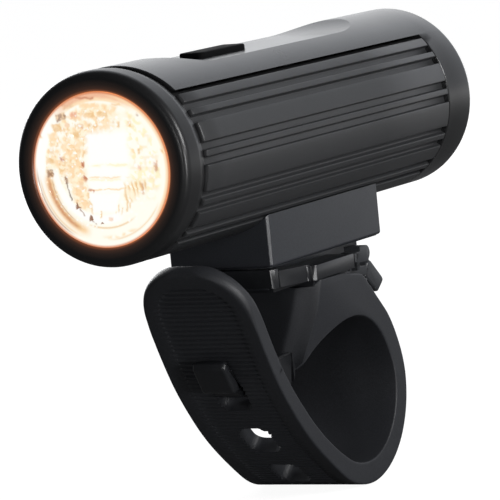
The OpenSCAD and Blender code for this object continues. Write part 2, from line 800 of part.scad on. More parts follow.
module bracket_base() color([0.12, 0.12, 0.13]) difference() {
    union() {
        block(plate_w, plate_from, plate_to, plate_low, plate_z);
        extrude_x(nose_w) polygon([[nose_from, nose_low], [nose_from, nose_high], [plate_from, step_z],
            [plate_from, plate_low]]);
        translate([0, stop_from + stop_t / 2, stop_low]) linear_extrude(stop_high - stop_low)
            round_rect(nose_w, stop_t, stop_corner_r);
        block(keel_w, saddle_front, plate_to, keel_z, plate_low + bite);
        block(floor_w, stop_from + bite, saddle_front + bite, nose_floor_z, stop_low + bite);
        rod_x(knuckle_r, 2 * knuckle_half, pivot);
        block(2 * knuckle_half, plate_to - bite, pivot[0], pivot[1] - knuckle_arm_t / 2,
            pivot[1] + knuckle_arm_t);
        intersection() {
            extrude_x(arm_w) hook_outline();
            block(big, -big, stem_front + bite, -big, big);
        }
        extrude_x(hook_w) intersection() {
            hook_outline();
            polygon([tongue_point(-big, hook_plate), tongue_point(big, hook_plate), tongue_point(big, big),
                tongue_point(-big, big)]);
        }
        hook_stem();
    }
    block(rail_w + 2 * slide_fit, nose_from, big, channel_z, lip_z);
    block(neck_w + 2 * slide_fit, nose_from, big, channel_z, big);
    rod_x(lever_pin_d / 2 + seat_fit, big, pivot);
    block(2 * coil_half, plate_to + bite / 2, pivot[0] + coil_room, pivot[1] - coil_room,
        pivot[1] + coil_room);
}

// Side outline of the lever's cheeks, which are round at the rear.
module cheek_outline() {
    translate([cheek_from, cheek_low]) square([cheek_to - cheek_r - cheek_from, 2 * cheek_r]);
    translate([cheek_to - cheek_r, cheek_low + cheek_r]) circle(r = cheek_r);
}

module release_lever() color([0.11, 0.11, 0.12]) difference() {
    union() {
        left_right(plate_w / 2 - cheek_t / 2) extrude_x(cheek_t) cheek_outline();
        left_right(plate_w / 2 - cheek_t / 2)
            block(cheek_t, lever_from + link_in, cheek_to - link_in, link_z - bite, cheek_low + link_in);
        left_right(plate_w / 2 - link_w / 2)
            block(link_w, lever_from + link_in, cheek_to - link_in, lever_end_high, link_z);
        extrude_x(bar_w) polygon([[lever_from, lever_low], [lever_from, lever_low + lever_root_t],
            [lever_to, lever_end_high], [lever_to, lever_end_low]]);
        block(neck_w, notch_at - tooth_t / 2, notch_at + tooth_t / 2, lever_low + bite, tooth_z);
        left_right(lever_knuckle_x) {
            rod_x(knuckle_r, lever_knuckle_w, pivot);
            block(lever_knuckle_w, pivot[0], lever_from + bite, pivot[1] - knuckle_arm_t / 2,
                pivot[1] + knuckle_arm_t / 2);
        }
        translate([0, tab_start[0], tab_start[1]]) rotate([tab_angle, 0, 0])
            translate([0, lever_tab_len / 2, -tab_t_lever / 2]) linear_extrude(tab_t_lever)
                round_rect(lever_tab_w, lever_tab_len, tab_corner_r);
    }
    rod_x(lever_pin_d / 2 + pin_fit, big, pivot);
}

module lever_pin() color([0.75, 0.75, 0.76])
    rod_x(lever_pin_d / 2, 2 * (knuckle_half + knuckle_gap + lever_knuckle_w), pivot);

// Torsion spring around the pin, swept as one tube along a helix.
function spring_point(i, j) =
    let (a = 360 * i / spring_steps, b = 360 * j / spring_sides, r = spring_r + spring_wire_r * cos(b))
    [(2 * i / spring_rings - 1) * spring_half + spring_wire_r * sin(b),
        pivot[0] + r * cos(a), pivot[1] + r * sin(a)];

module lever_spring() color([0.8, 0.8, 0.8]) polyhedron(
    points = [for (i = [0:spring_rings], j = [0:spring_sides - 1]) spring_point(i, j)],
    faces = concat(
        [[for (j = [0:spring_sides - 1]) j]],
        [[for (j = [spring_sides - 1:-1:0]) spring_rings * spring_sides + j]],
        [for (i = [0:spring_rings - 1], j = [0:spring_sides - 1]) let (k = (j + 1) % spring_sides)
            [i * spring_sides + j, (i + 1) * spring_sides + j, (i + 1) * spring_sides + k]],
        [for (i = [0:spring_rings - 1], j = [0:spring_sides - 1]) let (k = (j + 1) % spring_sides)
            [i * spring_sides + j, (i + 1) * spring_sides + k, i * spring_sides + k]]));

// Strap

// The part of the plane ahead of the line where the strap leaves the bar.
module ahead_of_bar() {
    inner = -bar_r * [sin(leave_in), cos(leave_in)];
    outer = -ring_r * [sin(leave_out), cos(leave_out)];
    along = (outer - inner) / norm(outer - inner);
    ahead = [along[1], -along[0]];
    start = inner - strap_t * along;
    polygon([start, start + big * along, start + big * (along + ahead), start + big * ahead]);
}

// The ring around the bar and the saddle on top of it.
module strap_loop_outline() {
    difference() {
        circle(r = ring_r);
        ahead_of_bar();
        translate([-big, 0]) square([big, big]);
    }
    polygon([[0, 0], [saddle_front, 0], [saddle_front, saddle_top], [saddle_crest, saddle_top - bite],
        [ring_r * sqrt(2) - saddle_rear_z, saddle_rear_z], ring_r * [sin(45), cos(45)]]);
}

// The front bend between the ring and the tongue, which thins towards the tongue.
module strap_bend_outline() intersection() {
    difference() {
        translate(bend_out_c) circle(r = bend_r, $fn = bend_fn);
        translate(bend_in_c) circle(r = bend_in_r, $fn = bend_fn);
    }
    ahead_of_bar();
    polygon([tongue_point(0, over), tongue_point(-big, over), tongue_point(-big, -big / 3),
        tongue_point(0, -big / 3)]);
}

module tongue_outline() {
    straight = tongue_len - tongue_corner_r;
    inset = strap_w / 2 - tongue_corner_r;
    translate([-strap_w / 2, -seat_fit]) square([strap_w, straight + seat_fit]);
    translate([-inset, 0]) square([2 * inset, tongue_len]);
    for (s = [-1, 1]) translate([s * inset, straight]) circle(r = tongue_corner_r);
}

module tongue() translate([0, tongue_at[0], tongue_at[1]]) rotate([180 - tongue_slope, 0, 0])
    translate([0, 0, -tongue_t]) linear_extrude(tongue_t) tongue_outline();

// Row of hook slots along the bend.
module slot_cuts() for (i = [0:slot_count - 1]) let (s = slot_first_angle - i * slot_pitch_angle)
    extrude_x(slot_w) translate(bend_out_c - bend_r * [sin(s), cos(s)]) rotate(180 - s)
        square([slot_len, slot_cut], center = true);

// One groove between two ribs, at a point in y and z, where the strap's outer face has a slope.
module rib_groove(at, slope, w) extrude_x(w) translate(at) rotate(-slope)
    square([rib_gap, 2 * rib_depth], center = true);

// Half the width of the ribbed field at a distance up the tongue, which is arched at its end.
function rib_half(t) =
    let (r = tongue_corner_r - rib_border, up = max(0, t - (tongue_len - tongue_corner_r)))
    strap_w / 2 - tongue_corner_r + sqrt(pow(r, 2) - pow(up, 2));

// The grooves run down the tongue, along the bend and under the bar.
module rib_grooves() {
    for (t = [0:rib_pitch:tongue_len - rib_border - rib_gap])
        rib_groove(tongue_point(t, 0), tongue_slope, 2 * rib_half(t));
    w = strap_w - 2 * rib_border;
    bend_step = rib_pitch / bend_r * 180 / PI;
    for (s = [tongue_slope - bend_step:-bend_step:leave_out])
        rib_groove(bend_out_c - bend_r * [sin(s), cos(s)], s, w);
    ring_step = rib_pitch / ring_r * 180 / PI;
    for (s = [leave_out - ring_step:-ring_step:leave_out - rib_reach_angle])
        rib_groove(-ring_r * [sin(s), cos(s)], s, w);
}

// Tapers the front of the saddle inwards and down on one side.
module saddle_taper() translate([strap_w / 2, saddle_front, taper_z]) rotate([0, 0, taper_back])
    rotate([0, taper_down, 0]) translate([0, -big / 2, -big]) cube([big, big, 2 * big]);

module strap() color([0.1, 0.1, 0.1]) difference() {
    union() {
        difference() {
            extrude_x(strap_w) strap_loop_outline();
            intersection() {
                union() {
                    saddle_taper();
                    mirror([1, 0, 0]) saddle_taper();
                }
                block(big, -big, 0, 0, big);
            }
        }
        extrude_x(strap_w) strap_bend_outline();
        tongue();
    }
    rod_x(bar_r, big, [0, 0]);
    rib_grooves();
    slot_cuts();
    block(keel_w, saddle_front - over, plate_to, keel_z, big);
    block(lever_room_w, plate_to - bite, big, lever_room_z, big);
    hook_stem();
}

barrel();
front_bezel();
front_seal();
top_cover();
tail_seal();
tail_screws();
lens();
lens_gasket();
reflector();
led_emitter();
led_board();
heat_sink();
battery_cell();
cell_tabs();
battery_cradle();
driver_board();
tactile_switch();
button();
button_seal();
charge_board();
charge_port();
port_cover();
mount_foot();
foot_screws();
bracket_base();
release_lever();
lever_pin();
lever_spring();
strap();
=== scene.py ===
import json
import math

import bmesh
import bpy
from mathutils import Matrix, Vector, noise


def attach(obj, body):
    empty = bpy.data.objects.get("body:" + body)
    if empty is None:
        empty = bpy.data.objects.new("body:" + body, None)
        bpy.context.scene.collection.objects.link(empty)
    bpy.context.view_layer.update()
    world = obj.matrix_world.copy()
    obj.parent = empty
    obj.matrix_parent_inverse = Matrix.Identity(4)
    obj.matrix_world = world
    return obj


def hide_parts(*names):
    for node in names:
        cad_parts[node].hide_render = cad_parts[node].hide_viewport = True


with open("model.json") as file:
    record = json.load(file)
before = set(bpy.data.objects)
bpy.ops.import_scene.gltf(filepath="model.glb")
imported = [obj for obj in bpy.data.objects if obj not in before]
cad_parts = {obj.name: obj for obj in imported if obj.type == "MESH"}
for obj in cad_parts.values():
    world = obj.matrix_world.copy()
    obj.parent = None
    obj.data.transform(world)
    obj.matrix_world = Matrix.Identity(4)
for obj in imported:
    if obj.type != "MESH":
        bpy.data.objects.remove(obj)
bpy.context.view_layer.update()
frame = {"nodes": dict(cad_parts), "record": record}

scene = bpy.context.scene

# Lengths are millimetres, except on the stage
MM = 0.001
FRONT_Y = -61.8     # the lamp's front end
AXIS_Z = 46.7       # the tube's axis above the bar's
LAMP_R = 16.0
BORE_R = 13.4
BARREL_FROM = 6.95  # these three are measured back from the lamp's front end
TAIL_FROM = 94.6
LAMP_LEN = 104.2
LEDGE_Z = 10.95     # these two are measured up from the tube's axis
COVER_EDGE_Z = 11.5
PAIR_ANGLES = (60.1, 85.8, 115.3, 139.1)
BUTTON_Y = 39.65
# The lens's radius, and how far the painted spill glow reaches out from it on the bezel
LENS_R, PAINTED_SPILL_REACH = 12.6, 2.0


# Materials

def ramp_of(nodes, stops):
    """A colour ramp through stops, each a position and a colour."""
    ramp = nodes.new("ShaderNodeValToRGB")
    elements = ramp.color_ramp.elements
    for i in (0, -1):
        elements[i].position = stops[i][0]
        elements[i].color = (*stops[i][1], 1)
    for at, tone in stops[1:-1]:
        elements.new(at).color = (*tone, 1)
    return ramp


def finish(name, colour, rough, grain=0.25, bump=0.012, vary=0.25, metallic=0.0, stretch=(1, 1, 1),
           specular=0.5, patches=0.06):
    """A finely grained surface. Its tone swings by vary and its roughness by patches."""
    material = bpy.data.materials.new(name)
    material.use_nodes = True
    nodes, links = material.node_tree.nodes, material.node_tree.links
    shader = nodes["Principled BSDF"]
    shader.inputs["Metallic"].default_value = metallic
    shader.inputs["Specular IOR Level"].default_value = specular
    coords = nodes.new("ShaderNodeTexCoord")
    scale = nodes.new("ShaderNodeMapping")
    scale.inputs["Scale"].default_value = [s / (grain * MM) for s in stretch]
    links.new(coords.outputs["Object"], scale.inputs["Vector"])
    fine = nodes.new("ShaderNodeTexNoise")
    fine.inputs["Scale"].default_value = 1.0
    fine.inputs["Detail"].default_value = 3.0
    links.new(scale.outputs["Vector"], fine.inputs["Vector"])
    wide = nodes.new("ShaderNodeTexNoise")
    wide.inputs["Scale"].default_value = 90.0
    wide.inputs["Detail"].default_value = 2.0
    links.new(coords.outputs["Object"], wide.inputs["Vector"])
    dark, light = [c * (1 - vary) for c in colour], [min(1, c * (1 + vary)) for c in colour]
    tone = ramp_of(nodes, ((0.3, dark), (0.7, light)))
    links.new(fine.outputs["Fac"], tone.inputs["Fac"])
    links.new(tone.outputs["Color"], shader.inputs["Base Color"])
    sheen = nodes.new("ShaderNodeMapRange")
    sheen.inputs["To Min"].default_value = max(0.02, rough - patches)
    sheen.inputs["To Max"].default_value = min(1.0, rough + patches)
    links.new(wide.outputs["Fac"], sheen.inputs["Value"])
    links.new(sheen.outputs["Result"], shader.inputs["Roughness"])
    relief = nodes.new("ShaderNodeBump")
    relief.inputs["Strength"].default_value = 0.5
    relief.inputs["Distance"].default_value = bump * MM
    links.new(fine.outputs["Fac"], relief.inputs["Height"])
    links.new(relief.outputs["Normal"], shader.inputs["Normal"])
    return material


def glowing(name):
    """The lit lens: its glow is painted on the facets, and a clear skin reflects the room."""
    material = finish(name, (0.2, 0.18, 0.15), 0.12, grain=0.4, bump=0.004, vary=0.1)
    nodes, links = material.node_tree.nodes, material.node_tree.links
    paint = nodes.new("ShaderNodeAttribute")
    paint.attribute_name = "glow"
    shader = nodes["Principled BSDF"]
    links.new(paint.outputs["Color"], shader.inputs["Emission Color"])
    shader.inputs["Emission Strength"].default_value = 1.0
    return material


def bezel_with_painted_spill(name):
    """Satin black, with a painted glow on the lip around the lens that stands in for the warm light spilling
    from it.
    """
    material = finish(name, (0.014, 0.0142, 0.015), 0.36, grain=0.12, bump=0.005)
    nodes, links = material.node_tree.nodes, material.node_tree.links
    coords = nodes.new("ShaderNodeTexCoord")
    axis = nodes.new("ShaderNodeVectorMath")
    axis.operation = "SUBTRACT"
    axis.inputs[1].default_value = (0, FRONT_Y * MM, AXIS_Z * MM)
    links.new(coords.outputs["Object"], axis.inputs[0])
    radius = nodes.new("ShaderNodeVectorMath")
    radius.operation = "LENGTH"
    links.new(axis.outputs[0], radius.inputs[0])
    reach = nodes.new("ShaderNodeMapRange")
    reach.inputs["From Min"].default_value = LENS_R * MM
    reach.inputs["From Max"].default_value = (LENS_R + PAINTED_SPILL_REACH) * MM
    links.new(radius.outputs["Value"], reach.inputs["Value"])
    # Painted glow: the lens's spill light, brightest at the lens's edge and fading out across the lip
    painted_spill_fading = ((0.0, (0.34, 0.085, 0.026)), (0.08, (0.14, 0.042, 0.016)), (0.25, (0.038, 0.016, 0.0095)),
              (0.55, (0.013, 0.0068, 0.0046)), (1.0, (0, 0, 0)))
    painted_spill = ramp_of(nodes, painted_spill_fading)
    links.new(reach.outputs["Result"], painted_spill.inputs["Fac"])
    shader = nodes["Principled BSDF"]
    links.new(painted_spill.outputs["Color"], shader.inputs["Emission Color"])
    shader.inputs["Emission Strength"].default_value = 1.0
    return material


# Colour, roughness and what else differs from a plain finish
FINISHES = {
    "body_shell": ((0.032, 0.0328, 0.0348), 0.42, dict(grain=0.12, bump=0.006)),
    "cover_plastic": ((0.014, 0.0143, 0.0152), 0.26, dict(grain=0.2, bump=0.003, patches=0.03)),
    "reflector_metal": ((0.85, 0.85, 0.84), 0.08, dict(bump=0.002, vary=0.03, metallic=1.0)),
    "led": ((0.95, 0.75, 0.3), 0.3, dict(vary=0.1)),
    "led_plate": ((0.8, 0.8, 0.8), 0.4, dict(vary=0.06)),
    "sink_metal": ((0.6, 0.61, 0.62), 0.35, dict(stretch=(1, 0.05, 1), vary=0.1, metallic=1.0)),
    "cell": ((0.03, 0.16, 0.28), 0.35, dict(grain=0.6, vary=0.15)),
    "tab_steel": ((0.65, 0.65, 0.63), 0.3, dict(stretch=(0.05, 1, 1), vary=0.08, metallic=1.0)),
    "inner_plastic": ((0.035, 0.035, 0.04), 0.5, dict()),
    "circuit_board": ((0.015, 0.11, 0.055), 0.35, dict(grain=0.8, vary=0.35)),
    "switch": ((0.1, 0.1, 0.1), 0.45, dict()),
    "button_rubber": ((0.0045, 0.0045, 0.005), 0.8, dict(grain=0.15, bump=0.01, specular=0.08)),
    "seal_rubber": ((0.008, 0.008, 0.008), 0.7, dict(grain=0.3, bump=0.02)),
    "screw_steel": ((0.1, 0.1, 0.105), 0.3, dict(grain=0.1, vary=0.2, metallic=1.0)),
    "port_steel": ((0.6, 0.6, 0.62), 0.25, dict(stretch=(1, 0.05, 1), vary=0.08, metallic=1.0)),
    "port_rubber": ((0.012, 0.012, 0.013), 0.6, dict(grain=0.2, bump=0.015)),
    "foot_plastic": ((0.029, 0.0313, 0.037), 0.34, dict(grain=0.2, bump=0.012)),
    "bracket_plastic": ((0.015, 0.0159, 0.0181), 0.3, dict(grain=0.22, bump=0.012)),
    "lever_plastic": ((0.036, 0.038, 0.042), 0.38, dict(grain=0.22, bump=0.012)),
    "pin_steel": ((0.6, 0.6, 0.6), 0.25, dict(stretch=(0.05, 1, 1), vary=0.08, metallic=1.0)),
    "strap_rubber": ((0.023, 0.0244, 0.0285), 0.52, dict(grain=0.22, bump=0.03)),
}
MATERIALS = {slot: finish(slot, colour, rough, **more) for slot, (colour, rough, more) in FINISHES.items()}
# The bezel carries a painted glow of the lens's spill light
MATERIALS["bezel"] = bezel_with_painted_spill("bezel")
MATERIALS["lens_clear"] = glowing("lens_clear")


# Mesh helpers

def add(node, mesh, body, slot, crease=32.0):
    """Puts a finished mesh in the scene as a piece of a body that stands for a CAD node."""
    part = bpy.data.objects.new(node + "_look", mesh)
    scene.collection.objects.link(part)
    mesh.materials.clear()
    mesh.materials.append(MATERIALS[slot])
    mesh.shade_smooth()
    mesh.set_sharp_from_angle(angle=math.radians(crease))
    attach(part, body)
    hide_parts(node)


def mesh_of(name, verts, faces):
    """A closed mesh from points in millimetres, with doubles merged and normals turned out."""
    mesh = bpy.data.meshes.new(name)
    mesh.from_pydata([Vector(v) * MM for v in verts], [], faces)
    work = bmesh.new()
    work.from_mesh(mesh)
    bmesh.ops.remove_doubles(work, verts=work.verts, dist=2e-7)
    bmesh.ops.dissolve_degenerate(work, edges=work.edges, dist=1e-7)
    bmesh.ops.recalc_face_normals(work, faces=work.faces)
    work.to_mesh(mesh)
    work.free()
    return mesh


def band(a, b, n):
    """Faces between two rings of n points that start at a and b."""
    return [(a + k, b + k, b + (k + 1) % n, a + (k + 1) % n) for k in range(n)]


def loft(rings, around=False):
    """Faces between rings of equally many points. The ends are capped, or the last ring joins the first."""
    n = len(rings[0])
    verts = [p for ring in rings for p in ring]
    faces = []
    for i in range(len(rings) if around else len(rings) - 1):
        faces += band(i * n, (i + 1) % len(rings) * n, n)
    if not around:
        faces += [tuple(range(n - 1, -1, -1)), tuple(range(len(verts) - n, len(verts)))]
    return verts, faces


def cut(mesh, tools, operation="DIFFERENCE"):
    """The mesh with other meshes cut away from it or joined to it."""
    target = bpy.data.objects.new("target", mesh)
    scene.collection.objects.link(target)
    helpers = []
    for tool in tools:
        helper = bpy.data.objects.new("tool", tool)
        scene.collection.objects.link(helper)
        step = target.modifiers.new("cut", "BOOLEAN")
        step.operation, step.solver, step.object = operation, "EXACT", helper
        helpers.append(helper)
    bpy.context.view_layer.update()
    result = bpy.data.meshes.new_from_object(target.evaluated_get(bpy.context.evaluated_depsgraph_get()))
    for helper in helpers + [target]:
        bpy.data.objects.remove(helper)
    return result


def softened(node, width, segments=2, angle=28.0):
    """A copy of a CAD node's mesh with its sharp edges rounded."""
    mesh = bpy.data.meshes.new(node)
    work = bmesh.new()
    work.from_mesh(frame["nodes"][node].data)
    bmesh.ops.remove_doubles(work, verts=work.verts, dist=2e-6)
    bmesh.ops.dissolve_limit(work, angle_limit=math.radians(0.8), verts=work.verts, edges=work.edges)
    sharp = [e for e in work.edges if len(e.link_faces) == 2 and e.calc_face_angle(0) > math.radians(angle)]
    bmesh.ops.bevel(work, geom=sharp, offset=width * MM, offset_type="OFFSET", segments=segments, profile=0.5,
                    affect="EDGES", clamp_overlap=True)
    bmesh.ops.recalc_face_normals(work, faces=work.faces)
    work.to_mesh(mesh)
    work.free()
    return mesh


def rounded(points, radii, steps=4):
    """An outline in the plane with each corner rounded by its radius."""
    out = []
    n = len(points)
    for i, (p, r) in enumerate(zip(points, radii)):
        a, b = points[i - 1] - p, points[(i + 1) % n] - p
        if r <= 0 or a.length < 1e-9 or b.length < 1e-9:
            out.append(p)
            continue
        half = a.angle(b) / 2
        if half > math.radians(88):
            out.append(p)
            continue
        reach = min(r / math.tan(half), 0.48 * a.length, 0.48 * b.length)
        p0, p1 = p + a.normalized() * reach, p + b.normalized() * reach
        for k in range(steps + 1):
            u = k / steps
            out.append(p0 * (1 - u) ** 2 + p * 2 * u * (1 - u) + p1 * u ** 2)
    return out


def slab(outline, x0, x1, r, steps=4):
    """A slab across x with an outline in y and z and round edges."""
    n = len(outline)
    ways = []
    for i in range(n):
        a = (outline[i] - outline[i - 1]).normalized()
        b = (outline[(i + 1) % n] - outline[i]).normalized()
        mid = (a + b).normalized()
        ways.append(Vector((-mid.y, mid.x)) / max(0.5, mid.dot(a)))
    area = sum(p.x * q.y - q.x * p.y for p, q in zip(outline, outline[1:] + outline[:1]))
    turn = 1 if area > 0 else -1
    rings = []
    for k in range(2 * steps + 2):
        end = k > steps
        a = math.pi / 2 * (2 * steps + 1 - k if end else k) / steps
        inset, x = r - r * math.sin(a), r - r * math.cos(a)
        x = x1 - x if end else x0 + x
        rings.append([(x, *(p + w * inset * turn)) for p, w in zip(outline, ways)])
    return mesh_of("slab", *loft(rings))


def joined(meshes):
    """Several closed meshes in one."""
    work = bmesh.new()
    for mesh in meshes:
        work.from_mesh(mesh)
    mesh = bpy.data.meshes.new("joined")
    work.to_mesh(mesh)
    work.free()
    return mesh


def box(x0, x1, y0, y1, z0, z1):
    return mesh_of("box", *loft([[(x0, y0, z), (x1, y0, z), (x1, y1, z), (x0, y1, z)] for z in (z0, z1)]))


def box_outline(w, h, r, steps=6):
    """A rectangle with round corners, centred."""
    out = []
    for sx, sy, start in ((1, 1, 0), (-1, 1, 90), (-1, -1, 180), (1, -1, 270)):
        for k in range(steps + 1):
            a = math.radians(start + 90 * k / steps)
            out.append(Vector((sx * (w / 2 - r) + r * math.cos(a), sy * (h / 2 - r) + r * math.sin(a))))
    return out


def in_lamp(x, y, z):
    """A point given from the middle of the lamp's front end."""
    return x, y + FRONT_Y, z + AXIS_Z


def prism(outline, axis, start, end, at):
    """A prism in the lamp's frame: its outline is x and y for axis z, or x and z for axis y."""
    def point(p, v):
        x, other = p.x + at[0], p.y + at[1]
        return in_lamp(x, other, v) if axis == "z" else in_lamp(x, v, other)
    return mesh_of("tool", *loft([[point(p, v) for p in outline] for v in (start, end)]))


def smooth_step(a, b, v):
    """0 before a, 1 after b and a smooth rise between them."""
    u = max(0.0, min(1.0, (v - a) / (b - a)))
    return u * u * (3 - 2 * u)


# Lamp tube

def barrel_side():
    """Outline of the barrel's right half, from the ledge down to the bottom, as points and corner radii."""
    half_step, half_w, depth = 1.2, 0.66, 1.0
    edge_r, foot_r, ledge_r = 0.2, 0.3, 0.25
    floor = LAMP_R - depth
    degrees_a_step = 3
    points, radii = [], []

    def arc(a0, a1):
        steps = max(1, round((a1 - a0) / degrees_a_step))
        for k in range(1, steps):
            a = math.radians(a0 + (a1 - a0) * k / steps)
            points.append(Vector((LAMP_R * math.sin(a), LAMP_R * math.cos(a))))
            radii.append(0)

    at = math.degrees(math.acos(LEDGE_Z / LAMP_R))
    points.append(Vector((math.sqrt(LAMP_R ** 2 - LEDGE_Z ** 2), LEDGE_Z)))
    radii.append(ledge_r)
    for angle in PAIR_ANGLES:
        a = math.radians(angle)
        out, along = Vector((math.sin(a), math.cos(a))), Vector((math.cos(a), -math.sin(a)))
        for middle in (-half_step, half_step):
            edge = [middle - half_w, middle + half_w]
            spread = [math.degrees(math.asin(t / LAMP_R)) for t in edge]
            arc(at, angle + spread[0])
            for t, deep in ((edge[0], False), (edge[0], True), (edge[1], True), (edge[1], False)):
                points.append(out * (floor if deep else math.sqrt(LAMP_R ** 2 - t * t)) + along * t)
                radii.append(foot_r if deep else edge_r)
            at = angle + spread[1]
    arc(at, 180)
    return points, radii


def build_barrel():
    points, radii = barrel_side()
    outline = points + [Vector((0, -LAMP_R))] + [Vector((-p.x, p.y)) for p in reversed(points)]
    middle = Vector((0, 0))
    outer = rounded([middle] + outline, [0] + radii + [0] + radii[::-1])[1:]
    bore_steps = 48

    def ring(y, inset, bore):
        start = math.acos(LEDGE_Z / bore)
        inner = []
        for k in range(bore_steps + 1):
            a = -start - (2 * math.pi - 2 * start) * k / bore_steps
            inner.append(in_lamp(bore * math.sin(a), y, bore * math.cos(a)))
        shrink = 1 - inset / LAMP_R
        return [in_lamp(p.x * shrink, y, p.y * shrink) for p in outer] + inner

    wide, seat_to = BORE_R + 1.15, 12.55
    rim = ((0, 0.25), (0.07, 0.1), (0.25, 0))
    stations = [(BARREL_FROM + y, inset, wide) for y, inset in rim]
    stations += [(seat_to, 0, wide), (seat_to, 0, BORE_R), (40, 0, BORE_R), (70, 0, BORE_R)]
    stations += [(TAIL_FROM - y, inset, BORE_R) for y, inset in reversed(rim)]
    mesh = mesh_of("barrel", *loft([ring(*s) for s in stations]))
    add("barrel", mesh, "lamp", "body_shell")


def build_bezel():
    spigot, inner = BORE_R + 1, BORE_R - 0.15
    opening, rear_r = 12.65, LAMP_R - 0.55
    lip, broken, side_to, rear, spigot_to = 1.6, 0.25, 4.4, 6.5, 11.5
    corners = ((opening, lip, 0.1), (opening, broken, 0.15), (opening + broken, 0, 0.1), (LAMP_R, 0, 1.9),
               (LAMP_R, side_to, 3.0), (rear_r, rear, 0.2), (spigot, rear, 0.1), (spigot, spigot_to, 0.2),
               (inner, spigot_to, 0.2), (inner, lip, 0))
    profile = rounded([Vector((r, y)) for r, y, _ in corners], [bend for _, _, bend in corners], 10)
    sides = 160
    rings = []
    for k in range(sides):
        a = 2 * math.pi * k / sides
        rings.append([in_lamp(p.x * math.sin(a), p.y, p.x * math.cos(a)) for p in profile])
    add("front_bezel", mesh_of("front_bezel", *loft(rings, around=True)), "lamp", "bezel")


def scoop_floor(y):
    """Height of the scoop along the crown: a short drop, a flat and a sweep that rises at the rear."""
    flat_z, drop, drop_from, drop_to = 14.4, 1.6, 18, 27.5
    sweep_from, sweep_r, sweep_len = 72, 45, 20
    if y < sweep_from:
        return flat_z + drop * (1 - smooth_step(drop_from, drop_to, y))
    return flat_z + sweep_r - math.sqrt(sweep_r ** 2 - min(y - sweep_from, sweep_len) ** 2)


def cover_rings():
    """Sections of the cover and its tail collar, from the front to the rear, each with its place."""
    edge = math.acos(COVER_EDGE_Z / LAMP_R)
    side_steps, flat_steps, low_steps = 16, 16, 60
    broken, least_half = 0.25, 1.5
    lip_x, well_x, well_z = 10.6, 7.6, 12.8
    collar_to, end_r, end_steps = 98, 1.6, 8

    def upper(y, inset):
        r = LAMP_R - inset
        floor = scoop_floor(y) - inset
        half = max(math.sqrt(max(0.0, r * r - floor * floor)), least_half)
        half = min(half, r * math.sin(edge) - 1)
        top, low = math.asin(half / r), edge - broken / LAMP_R
        right = [((r - broken) * math.sin(edge), COVER_EDGE_Z),
                 ((r - 0.07) * math.sin(edge), COVER_EDGE_Z + 0.05)]
        for k in range(side_steps + 1):
            a = low + (top - low) * k / side_steps
            right.append((r * math.sin(a), r * math.cos(a)))
        flat = [half * (1 - 2 * k / flat_steps) for k in range(1, flat_steps)]
        middle = [(x, min(floor, math.sqrt(r * r - x * x))) for x in flat]
        return right + middle + [(-x, z) for x, z in reversed(right)]

    def under():
        line = [(-lip_x, COVER_EDGE_Z), (-well_x, COVER_EDGE_Z), (-well_x, well_z), (well_x, well_z),
                (well_x, COVER_EDGE_Z), (lip_x, COVER_EDGE_Z)]
        out = []
        for k in range(1, low_steps):
            u = k / low_steps * (len(line) - 1)
            i = min(int(u), len(line) - 2)
            a, b = line[i], line[i + 1]
            out.append((a[0] + (b[0] - a[0]) * (u - i), a[1] + (b[1] - a[1]) * (u - i)))
        return out

    def collar(r, low_r):
        top = upper(TAIL_FROM, LAMP_R - r)
        top[:2] = [(r * math.sin(a), r * math.cos(a)) for a in (edge, edge - 0.004)]
        top[-2:] = [(-x, z) for x, z in reversed(top[:2])]
        turns = [-edge - (2 * math.pi - 2 * edge) * k / low_steps for k in range(1, low_steps)]
        return top + [(low_r * math.sin(a), low_r * math.cos(a)) for a in turns]

    rim = ((0, 0.22), (0.06, 0.08), (0.2, 0))
    rings = [(BARREL_FROM + y, upper(BARREL_FROM + y, inset) + under()) for y, inset in rim]
    stations = [7.5 + 0.6 * k for k in range(38)] + [31 + 2 * k for k in range(20)]
    stations += [71 + 0.6 * k for k in range(25)] + [87, 89, 91, 93, TAIL_FROM]
    rings += [(y, upper(y, 0) + under()) for y in stations]
    rings += [(TAIL_FROM + y, collar(LAMP_R, LAMP_R - inset)) for y, inset in rim]
    rings.append((collar_to, collar(LAMP_R, LAMP_R)))
    for k in range(end_steps + 1):
        a = math.pi / 2 * k / end_steps
        r = LAMP_R - end_r + end_r * math.cos(a)
        rings.append((LAMP_LEN - end_r + end_r * math.sin(a), collar(r, r)))
    return rings


def build_cover():
    mesh = mesh_of("top_cover", *loft([[in_lamp(x, y, z) for x, z in ring] for y, ring in cover_rings()]))
    slot_w, slot_len, slot_floor, above = 5.2, 15.7, 12.0, 20.0
    slot = prism(box_outline(slot_w, slot_len, 1.2), "z", slot_floor, above, (0, BUTTON_Y))
    port_z, recess_low, recess_high, behind = -2.0, -8.0, 2.0, 110.0
    recess_z = (recess_low + recess_high) / 2
    recess = prism(box_outline(13.8, recess_high - recess_low, 1.6), "y", 103.0, behind, (0, recess_z))
    window = prism(box_outline(9.5, 3.7, 1.5), "y", 100.0, behind, (0, port_z))
    head_d, screw_x, screw_z = 3.7, 9.13, 4.2
    head = box_outline(head_d, head_d, 1.849, 8)
    holes = [prism(head, "y", 102.6, behind, (side * screw_x, screw_z)) for side in (-1, 1)]
    mesh = cut(mesh, [slot, recess, window] + holes)
    add("top_cover", mesh, "lamp", "cover_plastic", crease=18)


